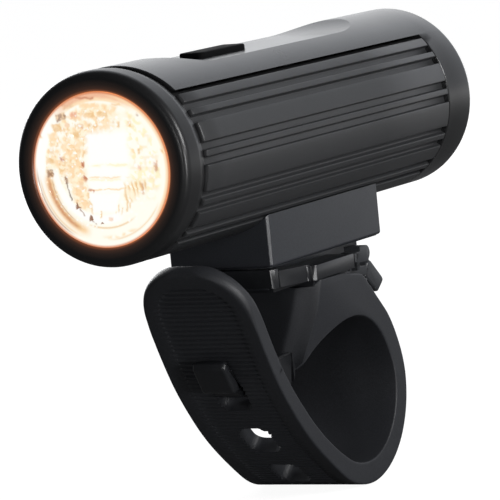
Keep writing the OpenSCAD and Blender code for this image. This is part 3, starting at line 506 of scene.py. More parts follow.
def build_button():
    width, length, corner_r, top_r = 4.8, 15.3, 1.0, 0.3
    flange, flange_from, flange_to, side_to = 1.2, 11.95, 12.75, 15.1

    def ring(z, inset):
        outline = box_outline(width - 2 * inset, length - 2 * inset, max(0.05, corner_r - inset), 8)
        return [in_lamp(p.x, p.y + BUTTON_Y, z) for p in outline]

    rings = [ring(flange_from, -flange), ring(flange_to, -flange), ring(flange_to, 0), ring(side_to, 0)]
    for k in range(1, 5):
        a = math.pi / 2 * k / 4
        rings.append(ring(side_to + top_r * math.sin(a), top_r - top_r * math.cos(a)))
    rings += [ring(z, inset) for z, inset in ((15.45, 0.8), (15.48, 1.5), (15.49, 2.2))]
    add("button", mesh_of("button", *loft(rings)), "button_key", "button_rubber")


# Lens

def shown(r, g, b):
    """The light that a screen shows as this colour."""
    return Vector([(c / 255 / 12.92 if c < 10 else ((c / 255 + 0.055) / 1.055) ** 2.4) for c in (r, g, b)])


WHITE, CREAM, PEACH = shown(255, 255, 252), shown(255, 243, 214), shown(252, 218, 174)
BASE, STRAW, EMBER = shown(255, 253, 241), shown(250, 240, 190), shown(214, 122, 70)
TAN, ROSE, RUST = shown(232, 190, 132), shown(234, 172, 140), shown(190, 108, 72)
BROWN, DARK = shown(138, 88, 58), shown(92, 58, 42)

# Facets moulded in the lens: middle, width, height, tilt in degrees, tint, strength
FACETS = (
    (-5.2, 10.5, 2.0, 1.0, 14, DARK, 0.85), (-6.8, 8.8, 1.7, 1.15, 10, BROWN, 0.9),
    (-4.3, 8.9, 1.4, 0.9, 6, ROSE, 0.9), (-7.7, 7.2, 1.6, 1.25, 6, TAN, 0.9),
    (-5.8, 7.4, 0.9, 0.6, 0, ROSE, 0.7), (-3.2, 7.1, 1.1, 0.8, 0, RUST, 0.6),
    (-1.5, 7.3, 0.7, 0.5, 0, TAN, 0.8), (-0.5, 7.0, 1.0, 0.5, 0, TAN, 0.9),
    (-1.4, 8.8, 1.9, 0.8, 3, TAN, 0.75), (1.0, 8.85, 1.9, 0.8, -2, TAN, 0.8),
    (3.9, 7.2, 0.55, 0.9, 0, TAN, 0.9), (5.85, 7.15, 0.55, 0.9, 0, TAN, 0.9),
    (-4.1, 5.9, 1.2, 0.9, 0, TAN, 0.85), (-8.9, 5.5, 1.2, 1.5, 4, PEACH, 0.9),
    (-9.3, 3.4, 1.1, 0.8, 0, TAN, 0.6), (-9.5, 1.8, 1.4, 0.8, 0, TAN, 0.8),
    (-7.3, 2.1, 1.0, 0.75, 0, RUST, 0.85), (-9.8, -0.2, 1.4, 1.3, 0, BROWN, 0.85),
    (-3.65, 0.7, 0.7, 1.1, -10, RUST, 0.95), (-3.2, 2.5, 0.35, 1.1, -25, TAN, 0.9),
    (-3.4, -1.3, 0.6, 1.0, 40, RUST, 0.95), (-2.4, -3.3, 1.1, 0.5, -20, RUST, 0.9),
    (-7.0, -1.4, 0.6, 1.3, 8, BROWN, 0.85), (-4.2, -2.4, 0.9, 1.1, 0, ROSE, 0.5),
    (10.1, 0.2, 0.6, 1.6, 6, RUST, 0.6), (7.15, 2.7, 0.45, 1.0, 0, TAN, 0.9),
    (6.95, 0.0, 0.5, 0.9, 0, ROSE, 0.6), (6.0, 2.8, 0.5, 0.9, 0, PEACH, 0.8),
    (7.6, 8.4, 0.5, 0.6, 30, BROWN, 0.6), (3.0, 7.6, 0.35, 0.4, 0, BROWN, 0.5),
    (0.75, -7.9, 1.0, 0.55, 0, ROSE, 0.7), (-0.8, -7.3, 0.35, 1.1, 0, TAN, 0.95),
    (-1.6, 10.4, 3.2, 0.7, 2, PEACH, 1.0), (3.8, 10.4, 1.6, 0.35, -8, TAN, 0.8),
    (11.5, 2.4, 0.4, 0.8, 10, TAN, 0.9), (-11.0, 6.2, 0.35, 1.6, 28, TAN, 0.7),
)
# Pointed teeth around the lower edge of the inner ring: middle, width, length, direction in degrees
TEETH = ((-5.2, -5.5, 0.9, 1.3, 110), (-2.9, -7.65, 1.0, 0.95, 112), (-0.85, -8.6, 0.8, 0.5, 90))
# Lines between the ribs: height, width, tint, strength
RIB_LINES = ((0.75, 0.3, STRAW, 0.75), (-1.3, 0.14, PEACH, 0.8), (-1.65, 0.2, STRAW, 0.6),
             (-3.2, 0.15, PEACH, 0.95))
# Short flutes below the pane: place across, lower end, upper end
SHORT_FLUTES = ((3.9, -6.9, -5.4), (4.5, -6.4, -5.6), (2.3, -7.7, -5.8), (2.9, -7.4, -6.4), (1.7, -7.8, -7.0))
# Each facet's tilt as cosine and sine, and how far it reaches from its middle
FACET_TURNS = [(math.cos(math.radians(tilt)), math.sin(math.radians(tilt)), math.hypot(w, h) / 2 + 0.4)
               for _, _, w, h, tilt, _, _ in FACETS]


def mottle(x, z, size, seed):
    """Smooth uneven light from 0 to 1 with patches of a given size."""
    return 0.5 + 0.5 * noise.noise(Vector((x / size, z / size, seed)))


def optic(px, pz):
    """Relief height and glow of the lit lens at a point seen from the front, where +x is to the right."""
    r, turn = math.hypot(px, pz), math.degrees(math.atan2(pz, px)) % 360
    # The moulding is uneven, so straight edges waver a little
    x = px + 0.5 * (mottle(px, pz, 1.7, 3.1) - 0.5) + 0.34 * (mottle(px, pz, 0.6, 7.7) - 0.5)
    z = pz + 0.5 * (mottle(px, pz, 1.7, 11.3) - 0.5) + 0.34 * (mottle(px, pz, 0.6, 15.9) - 0.5)
    glow = BASE.copy()
    relief = [0.0]

    def blend(colour, amount, height=0.0):
        amount = max(0.0, min(1.0, amount))
        glow.xyz = glow.lerp(colour, amount)
        relief[0] += height * amount

    def inside(low, high, v, soft):
        return smooth_step(low - soft, low + soft, v) * (1 - smooth_step(high - soft, high + soft, v))

    def ring(at, width, start, end, soft=6.0):
        return math.exp(-((r - at) / width) ** 2) * inside(start, end, turn, soft)

    def streak(x0, z0, x1, z1, width):
        way, d = Vector((x1 - x0, z1 - z0)), Vector((x - x0, z - z0))
        u = max(0.0, min(1.0, d.dot(way) / way.length_squared))
        return math.exp(-((d - way * u).length / width) ** 2)

    coarse = mottle(px, pz, 1.5, 21.5)
    middle = mottle(px, pz, 0.75, 25.5)
    fine = mottle(px, pz, 0.38, 29.5)
    # The moulded rows: small cells over the upper and left part
    pitch_x, pitch_z = 2.05, 1.7
    row = math.floor(z / pitch_z)
    u, v = (x + 0.55 * row) / pitch_x, z / pitch_z
    u, v = u - math.floor(u), v - row
    gap = min(min(u, 1 - u) * pitch_x, min(v, 1 - v) * pitch_z)
    cells = (1 - smooth_step(10.2, 11.0, r)) * smooth_step(-2.0, 2.0, 0.8 * z - 0.75 * x - 4.0)
    blend(CREAM, cells * smooth_step(0.36, 0.62, coarse))
    blend(PEACH, 0.75 * cells * smooth_step(0.5, 0.72, middle), -0.04)
    blend(PEACH, 0.75 * cells * (1 - smooth_step(0.1, 0.5, gap)) * smooth_step(0.3, 0.6, middle), -0.12)
    blend(TAN, 0.55 * cells * smooth_step(0.6, 0.78, fine), 0.05)
    right = (1 - smooth_step(10.4, 11.2, r)) * smooth_step(4.5, 6.0, x) * smooth_step(-6.0, -3.0, z)
    blend(STRAW, 0.75 * right * smooth_step(0.5, 0.68, middle), -0.05)
    blend(PEACH, 0.4 * right * (1 - smooth_step(0.05, 0.4, gap)) * smooth_step(0.4, 0.6, coarse), -0.1)
    # Warm wall left of the hot centre
    wall = inside(-6.2, -3.4, x + 0.12 * z, 0.7) * inside(-6.4, 5.0, z, 0.9)
    blend(CREAM, wall)
    blend(PEACH, wall * smooth_step(0.3, 0.6, middle), -0.08)
    blend(TAN, 0.45 * wall * smooth_step(0.55, 0.75, fine))
    # Hot centre, ribs below it and the lower pane
    blend(WHITE, inside(-2.4, 5.2, x, 0.6) * inside(0.9, 6.0, z, 0.6), 0.08)
    ribs = inside(-2.5, 4.8, x, 0.5) * inside(-3.6, 0.9, z, 0.2)
    blend(WHITE, 0.9 * ribs)
    for at, wide, tone, amount in RIB_LINES:
        blend(tone, amount * ribs * math.exp(-((z - at) / wide) ** 2) * smooth_step(0.15, 0.5, coarse), -0.1)
    pane = inside(-2.7 - 0.1 * (z + 4), 3.0 + 0.45 * (z + 4), x, 0.3) * inside(-6.8, -3.8, z, 0.3)
    blend(WHITE, pane, 0.08)
    blend(TAN, 0.55 * streak(-3.0, -3.9, -2.6, -7.2, 0.2), -0.08)
    # Upright flutes at the lower right
    flutes = inside(3.9, 8.0, x, 0.5) * inside(-5.6 + 0.45 * (x - 4), -2.0, z, 0.6)
    wave = 0.5 + 0.5 * math.cos(2 * math.pi * (x + 0.12 * z) / 0.78)
    blend(CREAM, 0.8 * flutes)
    blend(TAN, flutes * (1 - wave) * smooth_step(0.25, 0.6, coarse), -0.12)
    blend(RUST, 0.45 * streak(7.2, -2.6, 7.2, -4.2, 0.2), -0.08)
    for fx, low, high in SHORT_FLUTES:
        blend(TAN, 0.7 * streak(fx, low, fx + 0.15, high, 0.16), -0.1)
    # Rings: bright crescent, brown band, fine dark line, inner step and outer rim
    blend(WHITE, 0.9 * inside(10.6, 12.2, r, 0.3) * inside(135, 200, turn, 10), 0.05)
    blend(WHITE, 0.95 * inside(8.0, 9.3, r + 0.008 * (turn - 200), 0.25) * inside(178, 292, turn, 6), 0.06)
    brown_r = 10.35 + 0.006 * (turn - 200)
    blend(PEACH, ring(brown_r, 0.75, 184, 250, 6), -0.12)
    blend(TAN, 0.8 * ring(brown_r, 0.5, 186, 244, 6))
    blend(RUST, (0.35 + 0.5 * fine) * ring(brown_r + 0.1, 0.34, 186, 238, 6), -0.1)
    blend(BROWN, 0.5 * ring(brown_r - 0.6, 0.1, 188, 232, 6), -0.05)
    blend(BROWN, 0.75 * ring(12.1, 0.11, 180, 236, 8), -0.06)
    blend(TAN, 0.6 * ring(11.75, 0.2, 186, 240, 8))
    blend(TAN, 0.75 * ring(9.45, 0.16, 252, 300, 8), -0.1)
    blend(TAN, 0.55 * ring(11.4, 0.16, 276, 326, 8), -0.1)
    blend(PEACH, 0.8 * ring(11.0, 0.3, 268, 300, 8) * smooth_step(0.3, 0.6, middle), -0.05)
    soft = 0.2
    for facet, (c, n, reach) in zip(FACETS, FACET_TURNS):
        fx, fz, w, h, _, tone, amount = facet
        if abs(x - fx) > reach or abs(z - fz) > reach:
            continue
        du, dv = abs((x - fx) * c + (z - fz) * n), abs((z - fz) * c - (x - fx) * n)
        here = 1 - smooth_step(w / 2 - soft, w / 2 + soft, du)
        here *= 1 - smooth_step(h / 2 - soft, h / 2 + soft, dv)
        pale = tone.lerp(PEACH, 0.75 * smooth_step(0.45, 0.75, fine))
        blend(pale, amount * here * (0.75 + 0.4 * middle), -0.14)
    blend(DARK, 0.9 * streak(-6.95, -1.9, -6.2, -4.8, 0.12), -0.1)
    blend(BROWN, 0.85 * streak(-5.0, -5.9, -4.0, -7.3, 0.11), -0.08)
    blend(BROWN, 0.7 * streak(-2.7, -7.9, -2.1, -8.6, 0.11), -0.05)
    for tx, tz, w, length, way in TEETH:
        c, n = math.cos(math.radians(way)), math.sin(math.radians(way))
        along, side = (x - tx) * c + (z - tz) * n, abs((z - tz) * c - (x - tx) * n)
        room = w / 2 * (0.5 - along / length)
        if abs(along) < length / 2:
            blend(BROWN, 0.95 * (1 - smooth_step(room - 0.1, room + 0.1, side)), -0.14)
    # Sparkle in the moulded part, and the rim
    blend(WHITE, 0.85 * smooth_step(0.66, 0.8, mottle(px, pz, 0.5, 33.5)) * (1 - smooth_step(9.8, 10.6, r)))
    upper = inside(62, 122, turn, 14)
    blend(PEACH, 0.9 * upper * smooth_step(10.9, 11.3, r))
    blend(ROSE, 0.8 * upper * smooth_step(11.3, 11.9, r - 0.3 * (middle - 0.5)))
    blend(RUST, 0.75 * streak(-3.4, 11.75, -0.4, 11.55, 0.2), -0.08)
    around = inside(-10, 75, turn, 10) + inside(320, 371, turn, 10)
    blend(PEACH, 0.85 * smooth_step(11.5, 12.1, r) * around)
    blend(EMBER, 0.9 * smooth_step(12.1, 12.55, r))
    relief[0] += 0.22 * smooth_step(11.8, 12.5, r)
    return max(-0.3, min(0.3, relief[0])), glow * 0.97


def build_lens():
    front, back, flange = 0.36, 3.75, 13.1
    rings, sides = 118, 440
    height, colour = optic(0, 0)
    verts, glow = [in_lamp(0, front - height, 0)], [colour]
    for i in range(1, rings + 1):
        r = LENS_R * i / rings
        for k in range(sides):
            a = 2 * math.pi * k / sides
            x, z = r * math.sin(a), r * math.cos(a)
            height, colour = optic(x, z)
            verts.append(in_lamp(x, front - height, z))
            glow.append(colour)
    faces = [(0, 1 + k, 1 + (k + 1) % sides) for k in range(sides)]
    for i in range(rings - 1):
        faces += band(1 + i * sides, 1 + (i + 1) * sides, sides)
    for r, y in ((12.5, 1.1), (12.4, 1.65), (flange, 1.65), (flange, back)):
        a = len(verts)
        for k in range(sides):
            t = 2 * math.pi * k / sides
            verts.append(in_lamp(r * math.sin(t), y, r * math.cos(t)))
            glow.append(EMBER)
        faces += band(a - sides, a, sides)
    faces.append(tuple(range(len(verts) - sides, len(verts))))
    mesh = bpy.data.meshes.new("lens")
    mesh.from_pydata([Vector(v) * MM for v in verts], [], faces)
    paint = mesh.attributes.new("glow", "FLOAT_COLOR", "POINT")
    for i, colour in enumerate(glow):
        paint.data[i].color = (*colour, 1)
    work = bmesh.new()
    work.from_mesh(mesh)
    bmesh.ops.recalc_face_normals(work, faces=work.faces)
    work.to_mesh(mesh)
    work.free()
    add("lens", mesh, "lamp", "lens_clear")


# Strap

BAR_R, RING_R, BEND_R = 12.7, 16.7, 62.0
SLOPE, LEAVE_OUT, LEAVE_IN = math.radians(60), math.radians(33), math.radians(28.5)
TONGUE_T, TONGUE_LEN, CORNER_R, HALF_W = 3.0, 22.5, 9.2, 10.3
RIB_PITCH, RIB_DEPTH, RIB_BORDER = 0.95, 0.35, 3.1
BEND_LEN = BEND_R * (SLOPE - LEAVE_OUT)
RING_END = math.radians(-135)
RING_LEN = RING_R * (LEAVE_OUT - RING_END)


def down(a):
    """The way across the strap to its inside, where its slope is a."""
    return Vector((math.sin(a), math.cos(a)))


TURN_OUT, TURN_IN = math.cos(SLOPE - LEAVE_OUT), math.cos(SLOPE - LEAVE_IN)
BEND_IN_R = (BEND_R * (1 - TURN_OUT) + RING_R * TURN_OUT - BAR_R * TURN_IN - TONGUE_T) / (1 - TURN_IN)
BEND_OUT_C, BEND_IN_C = down(LEAVE_OUT) * (BEND_R - RING_R), down(LEAVE_IN) * (BEND_IN_R - BAR_R)
TONGUE_AT = BEND_OUT_C - down(SLOPE) * BEND_R
SADDLE_TOP, SADDLE_LOW = 20.9, 4.6
SADDLE_CORNERS = ((12.09, 12.09), (4.7, 19.45), (-2.4, 20.7), (-11.5, SADDLE_TOP))
SADDLE = rounded([Vector(p) for p in SADDLE_CORNERS], [0, 2.5, 2.0, 0], 8)
SADDLE_AT = [0.0]
for p, q in zip(SADDLE, SADDLE[1:]):
    SADDLE_AT.append(SADDLE_AT[-1] + (q - p).length)
# The hooked rubber swells out of its plain arcs and sinks into them: way along the strap, reach and height
SWELLS = ((3, 15, 0.5), (-26, 17, -0.5), (-50.5, 12, 0.1), (-67, 9, -0.14), (-80, 10, 0.42))
LOWEST = -16.68     # the strap's underside stays above this height


def pull(t):
    """How far the strap's outer face stands out from its plain arcs."""
    return sum(h / 2 * (1 + math.cos(math.pi * (t - at) / reach))
               for at, reach, h in SWELLS if abs(t - at) < reach)


def strap_pair(t):
    """Outer and inner point in y and z, where t runs along the outer face from the tongue's foot."""
    if t >= 0:
        outer = TONGUE_AT + Vector((-math.cos(SLOPE), math.sin(SLOPE))) * t - down(SLOPE) * pull(t)
        return outer, outer + down(SLOPE) * TONGUE_T
    if t >= -BEND_LEN:
        share = -t / BEND_LEN
        out = down(SLOPE + (LEAVE_OUT - SLOPE) * share)
        outer = BEND_OUT_C - out * (BEND_R + pull(t))
        outer.y = max(outer.y, LOWEST)
        inner_r = BEND_IN_R + max(0.0, pull(t))
        return outer, BEND_IN_C - down(SLOPE + (LEAVE_IN - SLOPE) * share) * inner_r
    if t >= -BEND_LEN - RING_LEN:
        share = (-t - BEND_LEN) / RING_LEN
        outer = -down(LEAVE_OUT + (RING_END - LEAVE_OUT) * share) * (RING_R + pull(t))
        outer.y = max(outer.y, LOWEST)
        return outer, -down(LEAVE_IN + (RING_END - LEAVE_IN) * share) * BAR_R
    way = min(-t - BEND_LEN - RING_LEN, SADDLE_AT[-1])
    i = next(i for i in range(len(SADDLE) - 1) if way <= SADDLE_AT[i + 1] + 1e-9)
    outer = SADDLE[i].lerp(SADDLE[i + 1], (way - SADDLE_AT[i]) / (SADDLE_AT[i + 1] - SADDLE_AT[i]))
    last = math.atan2(SADDLE_LOW, -math.sqrt(BAR_R ** 2 - SADDLE_LOW ** 2))
    a = math.radians(45) + (last - math.radians(45)) * way / SADDLE_AT[-1]
    return outer, Vector((BAR_R * math.cos(a), BAR_R * math.sin(a)))


def strap_half(p, t):
    """Half the strap's width: the tongue's end is round, and the saddle tapers to the front and down."""
    ring = BEND_LEN + RING_LEN
    wider = 0.4 * smooth_step(BEND_LEN + 2, BEND_LEN + 12, -t) * (1 - smooth_step(ring - 14, ring - 2, -t))
    if t > TONGUE_LEN - CORNER_R:
        up = min(t - (TONGUE_LEN - CORNER_R), CORNER_R)
        return HALF_W - CORNER_R + math.sqrt(CORNER_R ** 2 - up * up)
    if t < -BEND_LEN - RING_LEN / 2 and p.y > 0:
        lean = HALF_W + 0.15 + 0.2775 * (p.x + 11.5) + 0.3685 * (p.y - 19.3)
        width = 2.0
        near = max(0.0, 1 - abs(lean - HALF_W) / width)
        low = max(0.0, min(1.0, (7.2 - p.y) / 2.8)) if p.x < -9 else 0.0
        taper = min(lean, HALF_W) - near * near * width / 4 - 2.6 * (1 - math.sqrt(1 - low * low))
        return HALF_W + wider + (taper - HALF_W) * (smooth_step(0, 9, p.y) if p.x > 0 else 1)
    return HALF_W + wider


def rib_half(t):
    """Half the width of the ribbed field."""
    up = max(0.0, t - (TONGUE_LEN - CORNER_R))
    r = CORNER_R - RIB_BORDER
    return HALF_W - CORNER_R + math.sqrt(max(0.0, r * r - up * up))


def build_strap():
    rib_to, rib_from = TONGUE_LEN - RIB_BORDER, -BEND_LEN - RING_R * math.radians(24)
    start = -BEND_LEN - RING_LEN - SADDLE_AT[-1]
    slots = [-BEND_R * (SLOPE - math.radians(56.4 - 11.2 * i)) for i in range(3)]
    slot_half, slot_w = 3.5, 3.0
    ts = {start + 1.3 + 0.4 * k for k in range(1, int((-BEND_LEN - RING_LEN - start - 1.0) / 0.4))}
    ts |= {-BEND_LEN - RING_LEN + 0.8 * k for k in range(int((rib_from + BEND_LEN + RING_LEN) / 0.8))}
    ts |= {rib_from + RIB_PITCH / 6 * k for k in range(int((rib_to - rib_from) / (RIB_PITCH / 6)) + 1)}
    ts |= {rib_to + (TONGUE_LEN - 1.3 - rib_to) * k / 8 for k in range(8)}
    nose_from, nose_to, nose_in, end_r, bar_r = -12.9, -10.5, 3.1, 1.3, BAR_R + 0.02
    nose = ((nose_from, nose_in + 0.5, 1.6), (nose_from + 0.04, nose_in + 0.2, 1.1),
            (nose_from + 0.2, nose_in - 0.15, 0.7), (nose_from + 0.8, nose_in * 0.7, 0.3),
            (nose_from + 1.6, nose_in * 0.34, 0.1), (nose_to - 0.12, 0.12, 0), (nose_to, 0.03, 0))
    rows = []
    for y, inset, up in nose:
        low = Vector((y - 0.33, SADDLE_LOW + up))
        if low.length < bar_r:
            low = Vector((-math.sqrt(bar_r ** 2 - low.y ** 2), low.y))
        rows.append((Vector((y, SADDLE_TOP - 0.05 * up)), low, start, inset))
    for t in sorted(ts):
        outer, inner = strap_pair(t)
        rows.append((outer, inner, t, 0.0))
    for e in (1.3, 1.0, 0.7, 0.45, 0.25, 0.1, 0.03, 0.0):
        outer, inner = strap_pair(TONGUE_LEN - e)
        inset = end_r - math.sqrt(end_r ** 2 - (end_r - e) ** 2)
        out = (outer - inner).normalized() * inset
        rows.append((outer - out, inner + out, TONGUE_LEN - max(e, 0.004), 0.0))

    slot_to, field_to, border_to = 4.0, 7.2, 9.75
    columns = [0, 1.33, 2.67, slot_to, 5.5, 6.9, field_to, 7.45, 8.55, 8.7, 9.15, 9.3, border_to]
    inner_columns = [0, 1.33, 2.67, slot_to, field_to]
    plate_half, plate_z, plate_to, lever_half, lever_z = 9.2, 19.75, 0.55, 8.65, 17.35
    edge_r, walls = 0.3, 9
    corner = [math.radians(a) for a in (22.5, 45, 67.5, 90)]
    rings = []
    for outer, inner, t, inset in rows:
        thick = (outer - inner).length
        out = (outer - inner) / thick
        er = min(edge_r + 0.9 * smooth_step(TONGUE_LEN - 13, TONGUE_LEN - 5, t), 0.45 * thick)
        half_out, half_in = strap_half(outer, t) - inset, strap_half(inner, t) - inset
        er = min(er, 0.8 * min(half_out, half_in))
        field = min(rib_half(t), 0.9 * (half_out - er))
        ribbed = rib_from <= t <= rib_to
        phase = math.cos(2 * math.pi * t / RIB_PITCH)
        groove = RIB_DEPTH * smooth_step(-0.45, 0.45, phase) if ribbed else 0.0

        def point(x, depth):
            # The saddle's top leaves room for the bracket's plate and, behind it, for the lever
            p = outer - out * depth
            z = p.y
            if t < -BEND_LEN - RING_LEN / 2 and depth < 0.5 * thick:
                if abs(x) < plate_half and p.x < plate_to:
                    z = min(z, plate_z)
                elif abs(x) < lever_half and p.x >= plate_to:
                    z = min(z, lever_z)
            return x, p.x, z

        right = []
        for c in columns:
            if c <= field_to:
                x = c * field / field_to
                depth = groove if c < field_to else 0.5 * groove
            else:
                x = field + (c - field_to) * (half_out - er - field) / (border_to - field_to)
                depth = 0.0
            if c <= slot_to and t < TONGUE_LEN - CORNER_R:
                x = c
            right.append((x, depth))
        side = [(half_out - er + er * math.sin(a), er * (1 - math.cos(a))) for a in corner]
        for k in range(1, walls):
            depth = er + (thick - 2 * er) * k / walls
            side.append((strap_half(outer - out * depth, t) - inset, depth))
        side += [(half_in - er + er * math.cos(a), thick - er + er * math.sin(a)) for a in [0.0] + corner]
        low = []
        for c in inner_columns:
            straight = c <= slot_to and t < TONGUE_LEN - CORNER_R
            low.append((c if straight else c / field_to * min(field_to, 0.9 * (half_in - er)), thick))
        half_ring = right + side + list(reversed(low))
        ring = [point(x, d) for x, d in half_ring] + [point(-x, d) for x, d in reversed(half_ring[1:-1])]
        rings.append(ring)

    mesh = mesh_of("strap", *loft(rings))
    tools = []
    for t in slots:
        outer, inner = strap_pair(t)
        out = (outer - inner).normalized()
        along = Vector((-out.y, out.x))
        rings = []
        for depth in (-3.0, 9.0):
            middle = outer - out * depth
            outline = box_outline(2 * slot_w, 2 * slot_half, 1.7)
            rings.append([(p.x, *(middle + along * p.y)) for p in outline])
        tools.append(mesh_of("tool", *loft(rings)))
    mesh = cut(mesh, tools)
    add("strap", mesh, "bracket", "strap_rubber", crease=40)


# Mount

def tongue_point(t, n):
    """A point in y and z, given as the way up the tongue and out from its outer face."""
    return TONGUE_AT + Vector((-math.cos(SLOPE), math.sin(SLOPE))) * t - down(SLOPE) * n


def chamfered(w, h, c):
    """A rectangle with its corners cut at 45 degrees and the cuts' edges just broken."""
    points = []
    for sx, sy, turn in ((1, 1, 1), (-1, 1, 0), (-1, -1, 1), (1, -1, 0)):
        pair = [Vector((sx * w / 2, sy * (h / 2 - c))), Vector((sx * (w / 2 - c), sy * h / 2))]
        points += pair if turn else pair[::-1]
    return rounded(points, [0.18] * len(points), 3)


def corner_cut(x, y, c, z0, z1):
    """Tools that cut an upright front corner at 45 degrees, leaning back a little, on both sides."""
    tools = []
    for side in (1, -1):
        rings = []
        for z, lean in ((z0, 0.0), (z1, 0.08 * (z1 - z0))):
            a = c + lean / 2
            corners = ((x + 1, y - 1), (x + 1, y + a + 1), (x - a - 1, y - 1))
            rings.append([(side * cx, cy, z) for cx, cy in corners])
        tools.append(mesh_of("tool", *loft(rings)))
    return tools


def build_foot():
    width, length, middle_y, corner = 19.8, 40.2, -6.3, 0.45
    low_z, high_z, edge_r, seat_r = 25.2, 36.0, 0.5, 16.02
    rings = []
    for k in range(6):
        a = math.pi / 2 * k / 5
        inset, z = edge_r - edge_r * math.sin(a), low_z + edge_r - edge_r * math.cos(a)
        outline = chamfered(width - 2 * inset, length - 2 * inset, corner)
        rings.append([(p.x, p.y + middle_y, z) for p in outline])
    rings.append([(x, y, high_z) for x, y, _ in rings[-1]])
    turns = [math.radians(3 * k) for k in range(120)]
    tube = [[(seat_r * math.sin(a), y, AXIS_Z + seat_r * math.cos(a)) for a in turns] for y in (-40, 30)]
    block = cut(mesh_of("block", *loft(rings)), [mesh_of("tube", *loft(tube))])
    rail = cut(softened("mount_foot", 0.2), [box(-12, 12, -40, 30, 15, 25.25)], "INTERSECT")
    add("mount_foot", joined([block, rail]), "lamp", "foot_plastic")


def build_bracket():
    clear = slab([tongue_point(*p) for p in ((-9, 0.9), (12, 0.9), (12, 14), (-9, 14))], -8, 8, 0.01, 1)
    below_stop, stem = box(-12, 12, -60, -24.2, 10, 21.64), box(-8, 8, -20, -11.7, 8.6, 20.5)
    stop_corners = corner_cut(10, -26.5, 0.45, 20.0, 27.0)
    plate_corners = corner_cut(11, -13.8, 0.4, 19.0, 25.0)
    body = cut(softened("bracket_base", 0.22), [clear, below_stop, stem] + stop_corners + plate_corners)
    hook = ((-1.9, 0.8), (-0.8, 3.2), (4.6, 3.3), (5.3, 2.5), (5.2, 1.5), (0.4, 0.7))
    hook_r = [0.2, 1.2, 1.2, 0.5, 0.3, 0.2]
    tip = slab(rounded([tongue_point(*p) for p in hook], hook_r, 6), -3.2, 3.2, 0.7)
    arm = ((-22.0, 3.6), (-20.3, 1.8), (-14.1, 1.8), (-13.1, 3.2), (-12.0, 8.7), (-14.5, 8.7), (-22.0, 8.4))
    root = slab(rounded([Vector(p) for p in arm], [0.4] * len(arm)), -4.1, 4.1, 0.4)
    add("bracket_base", joined([body, tip, root]), "bracket", "bracket_plastic")


def build_lever():
    behind, over_front = box(-12, 12, 10.6, 30, 10, 30), box(-12, 12, -5, 3.0, 23.6, 30)
    below_cheeks = [box(9.2, 13, -5, 12, 10, 21.66), box(-13, -9.2, -5, 12, 10, 21.66)]
    body = cut(softened("release_lever", 0.22), [behind] + below_cheeks + [over_front])
    outline = [Vector(p) for p in ((9.8, 18.3), (11.1, 20.6), (12.4, 20.9), (17.0, 16.75), (14.2, 14.8))]
    tab = slab(rounded(outline, [0.2, 0.5, 0.9, 0.9, 0.6], 5), -8, 8, 0.5)
    front = [Vector(p) for p in ((1.1, 21.9), (2.4, 21.9), (2.4, 23.5), (1.1, 23.5))]
    fronts = [slab(rounded(front, [0.2] * 4), *ends, 0.15) for ends in ((9.4, 11.0), (-11.0, -9.4))]
    add("release_lever", joined([body, tab] + fronts), "lever", "lever_plastic")


build_barrel()
build_bezel()
build_cover()
build_button()
build_lens()
build_strap()
build_foot()
build_bracket()
build_lever()
SOFTENED = (("port_cover", "port_flap", "port_rubber", 0.2), ("tail_screws", "lamp", "screw_steel", 0.12))
for node, body, slot, width in SOFTENED:
    add(node, softened(node, width), body, slot)

for entry in frame["record"]["subparts"]:
    mesh = frame["nodes"][entry["node"]].data
    mesh.materials.clear()
    mesh.materials.append(MATERIALS[entry["material_slot"]])


# Stage, in metres

def added(nodes, links, a, b, operation="ADD"):
    """The sum of two sockets, or their product, kept between 0 and 1."""
    step = nodes.new("ShaderNodeMath")
    step.operation = operation
    step.use_clamp = True
    links.new(a, step.inputs[0])
    links.new(b, step.inputs[1])
    return step.outputs[0]


def white_seen(nodes, links, plain, seen, mirrored=None):
    """A plain shader for the light, and a white one for the camera and, by mirrored, reflections."""
    path = nodes.new("ShaderNodeLightPath")
    share = added(nodes, links, path.outputs["Is Camera Ray"], path.outputs["Is Transmission Ray"])
    if mirrored:
        part = added(nodes, links, path.outputs["Is Glossy Ray"], mirrored, "MULTIPLY")
        share = added(nodes, links, share, part)
    mix = nodes.new("ShaderNodeMixShader")
    links.new(share, mix.inputs["Fac"])
    links.new(plain, mix.inputs[1])
    links.new(seen, mix.inputs[2])
    return mix.outputs[0]


def build_floor():
    """A white sheet that keeps the shadow. Reflections see its white only behind the lamp."""
    floor_z = -0.0168
    bpy.ops.mesh.primitive_plane_add(size=6, location=(0, 0, floor_z))
    floor = bpy.context.object
    floor.name = "floor"
    material = bpy.data.materials.new("floor")
    material.use_nodes = True
    nodes, links = material.node_tree.nodes, material.node_tree.links
    shader = nodes["Principled BSDF"]
    shader.inputs["Base Color"].default_value = (0.12, 0.12, 0.12, 1)
    shader.inputs["Roughness"].default_value = 0.9
    glow = nodes.new("ShaderNodeEmission")
    glow.inputs["Strength"].default_value = 0.94
    shade = nodes.new("ShaderNodeBsdfDiffuse")
    shade.inputs["Color"].default_value = (0.25, 0.25, 0.25, 1)
    sheet = nodes.new("ShaderNodeAddShader")
    links.new(glow.outputs[0], sheet.inputs[0])
    links.new(shade.outputs[0], sheet.inputs[1])
    place = nodes.new("ShaderNodeTexCoord")
    away = nodes.new("ShaderNodeVectorMath")
    away.operation = "DOT_PRODUCT"
    away.inputs[1].default_value = Vector((0.3, 0.95, 0))
    links.new(place.outputs["Object"], away.inputs[0])
    far = nodes.new("ShaderNodeMapRange")
    far.interpolation_type = "SMOOTHSTEP"
    far.inputs["From Min"].default_value = 0.12
    far.inputs["From Max"].default_value = 1.0
    links.new(away.outputs["Value"], far.inputs["Value"])
    mix = white_seen(nodes, links, shader.outputs[0], sheet.outputs[0], far.outputs[0])
    links.new(mix, nodes["Material Output"].inputs["Surface"])
    floor.data.materials.append(material)


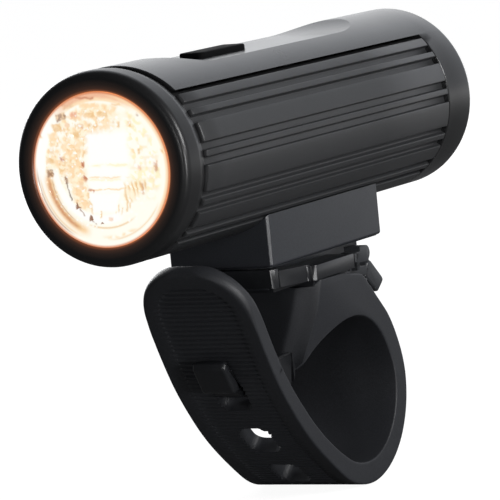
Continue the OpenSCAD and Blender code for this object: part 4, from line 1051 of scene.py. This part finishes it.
def build_room():
    """White to the camera. Light and reflections come from a room that is bright behind and dark in front."""
    world = bpy.data.worlds.new("room")
    scene.world = world
    world.use_nodes = True
    nodes, links = world.node_tree.nodes, world.node_tree.links
    nodes.clear()
    out = nodes.new("ShaderNodeOutputWorld")
    room, white = nodes.new("ShaderNodeBackground"), nodes.new("ShaderNodeBackground")
    coords = nodes.new("ShaderNodeTexCoord")
    lean = nodes.new("ShaderNodeVectorMath")
    lean.operation = "DOT_PRODUCT"
    lean.inputs[1].default_value = Vector((-0.42, 0.9, 0.1))
    links.new(coords.outputs["Generated"], lean.inputs[0])
    levels = ((0.56, 0.4), (0.67, 0.5), (0.78, 0.75), (0.88, 1.22))
    steps = [(at, (tone * 0.97, tone, tone * 1.06)) for at, tone in levels]
    ramp = ramp_of(nodes, [(0.3, (0.05, 0.05, 0.053)), *steps, (0.99, (1.36, 1.38, 1.41))])
    links.new(lean.outputs["Value"], ramp.inputs["Fac"])
    links.new(ramp.outputs["Color"], room.inputs["Color"])
    links.new(white_seen(nodes, links, room.outputs[0], white.outputs[0]), out.inputs["Surface"])


def lamp_light(name, at, target, size, watts):
    data = bpy.data.lights.new(name, "AREA")
    data.shape, data.size, data.energy = "DISK", size, watts
    light = bpy.data.objects.new(name, data)
    scene.collection.objects.link(light)
    light.location = at
    light.rotation_euler = (Vector(target) - Vector(at)).to_track_quat("-Z", "Y").to_euler()


build_floor()
build_room()
lamp_light("side", (0.67, -0.04, 0.32), (0, -0.01, 0.03), 0.25, 3.2)
lamp_light("edge", (0.62, -0.36, 0.03), (0, -0.01, 0.03), 0.12, 1.5)
lamp_light("front", (0.2, -0.78, 0.11), (0, -0.05, 0.04), 0.12, 0.5)
lamp_light("rear", (-0.58, 0.5, 0.2), (0, 0.01, 0.03), 0.3, 1.8)

camera = bpy.data.objects.new("camera", bpy.data.cameras.new("camera"))
scene.collection.objects.link(camera)
place = Vector((0.34950207, -0.63482625, 0.10826188))
right = Vector((0.87206613, 0.47979775, -0.09640943))
up = Vector((0.02887072, 0.14621879, 0.9888309))
back = Vector((0.48853572, -0.86510935, 0.11366035))
camera.matrix_world = Matrix.Translation(place) @ Matrix((right, up, back)).transposed().to_4x4()
camera.data.sensor_width = 36
camera.data.lens = 302.734
camera.data.clip_start, camera.data.clip_end = 0.01, 20
scene.camera = camera
scene.view_settings.view_transform = "Standard"
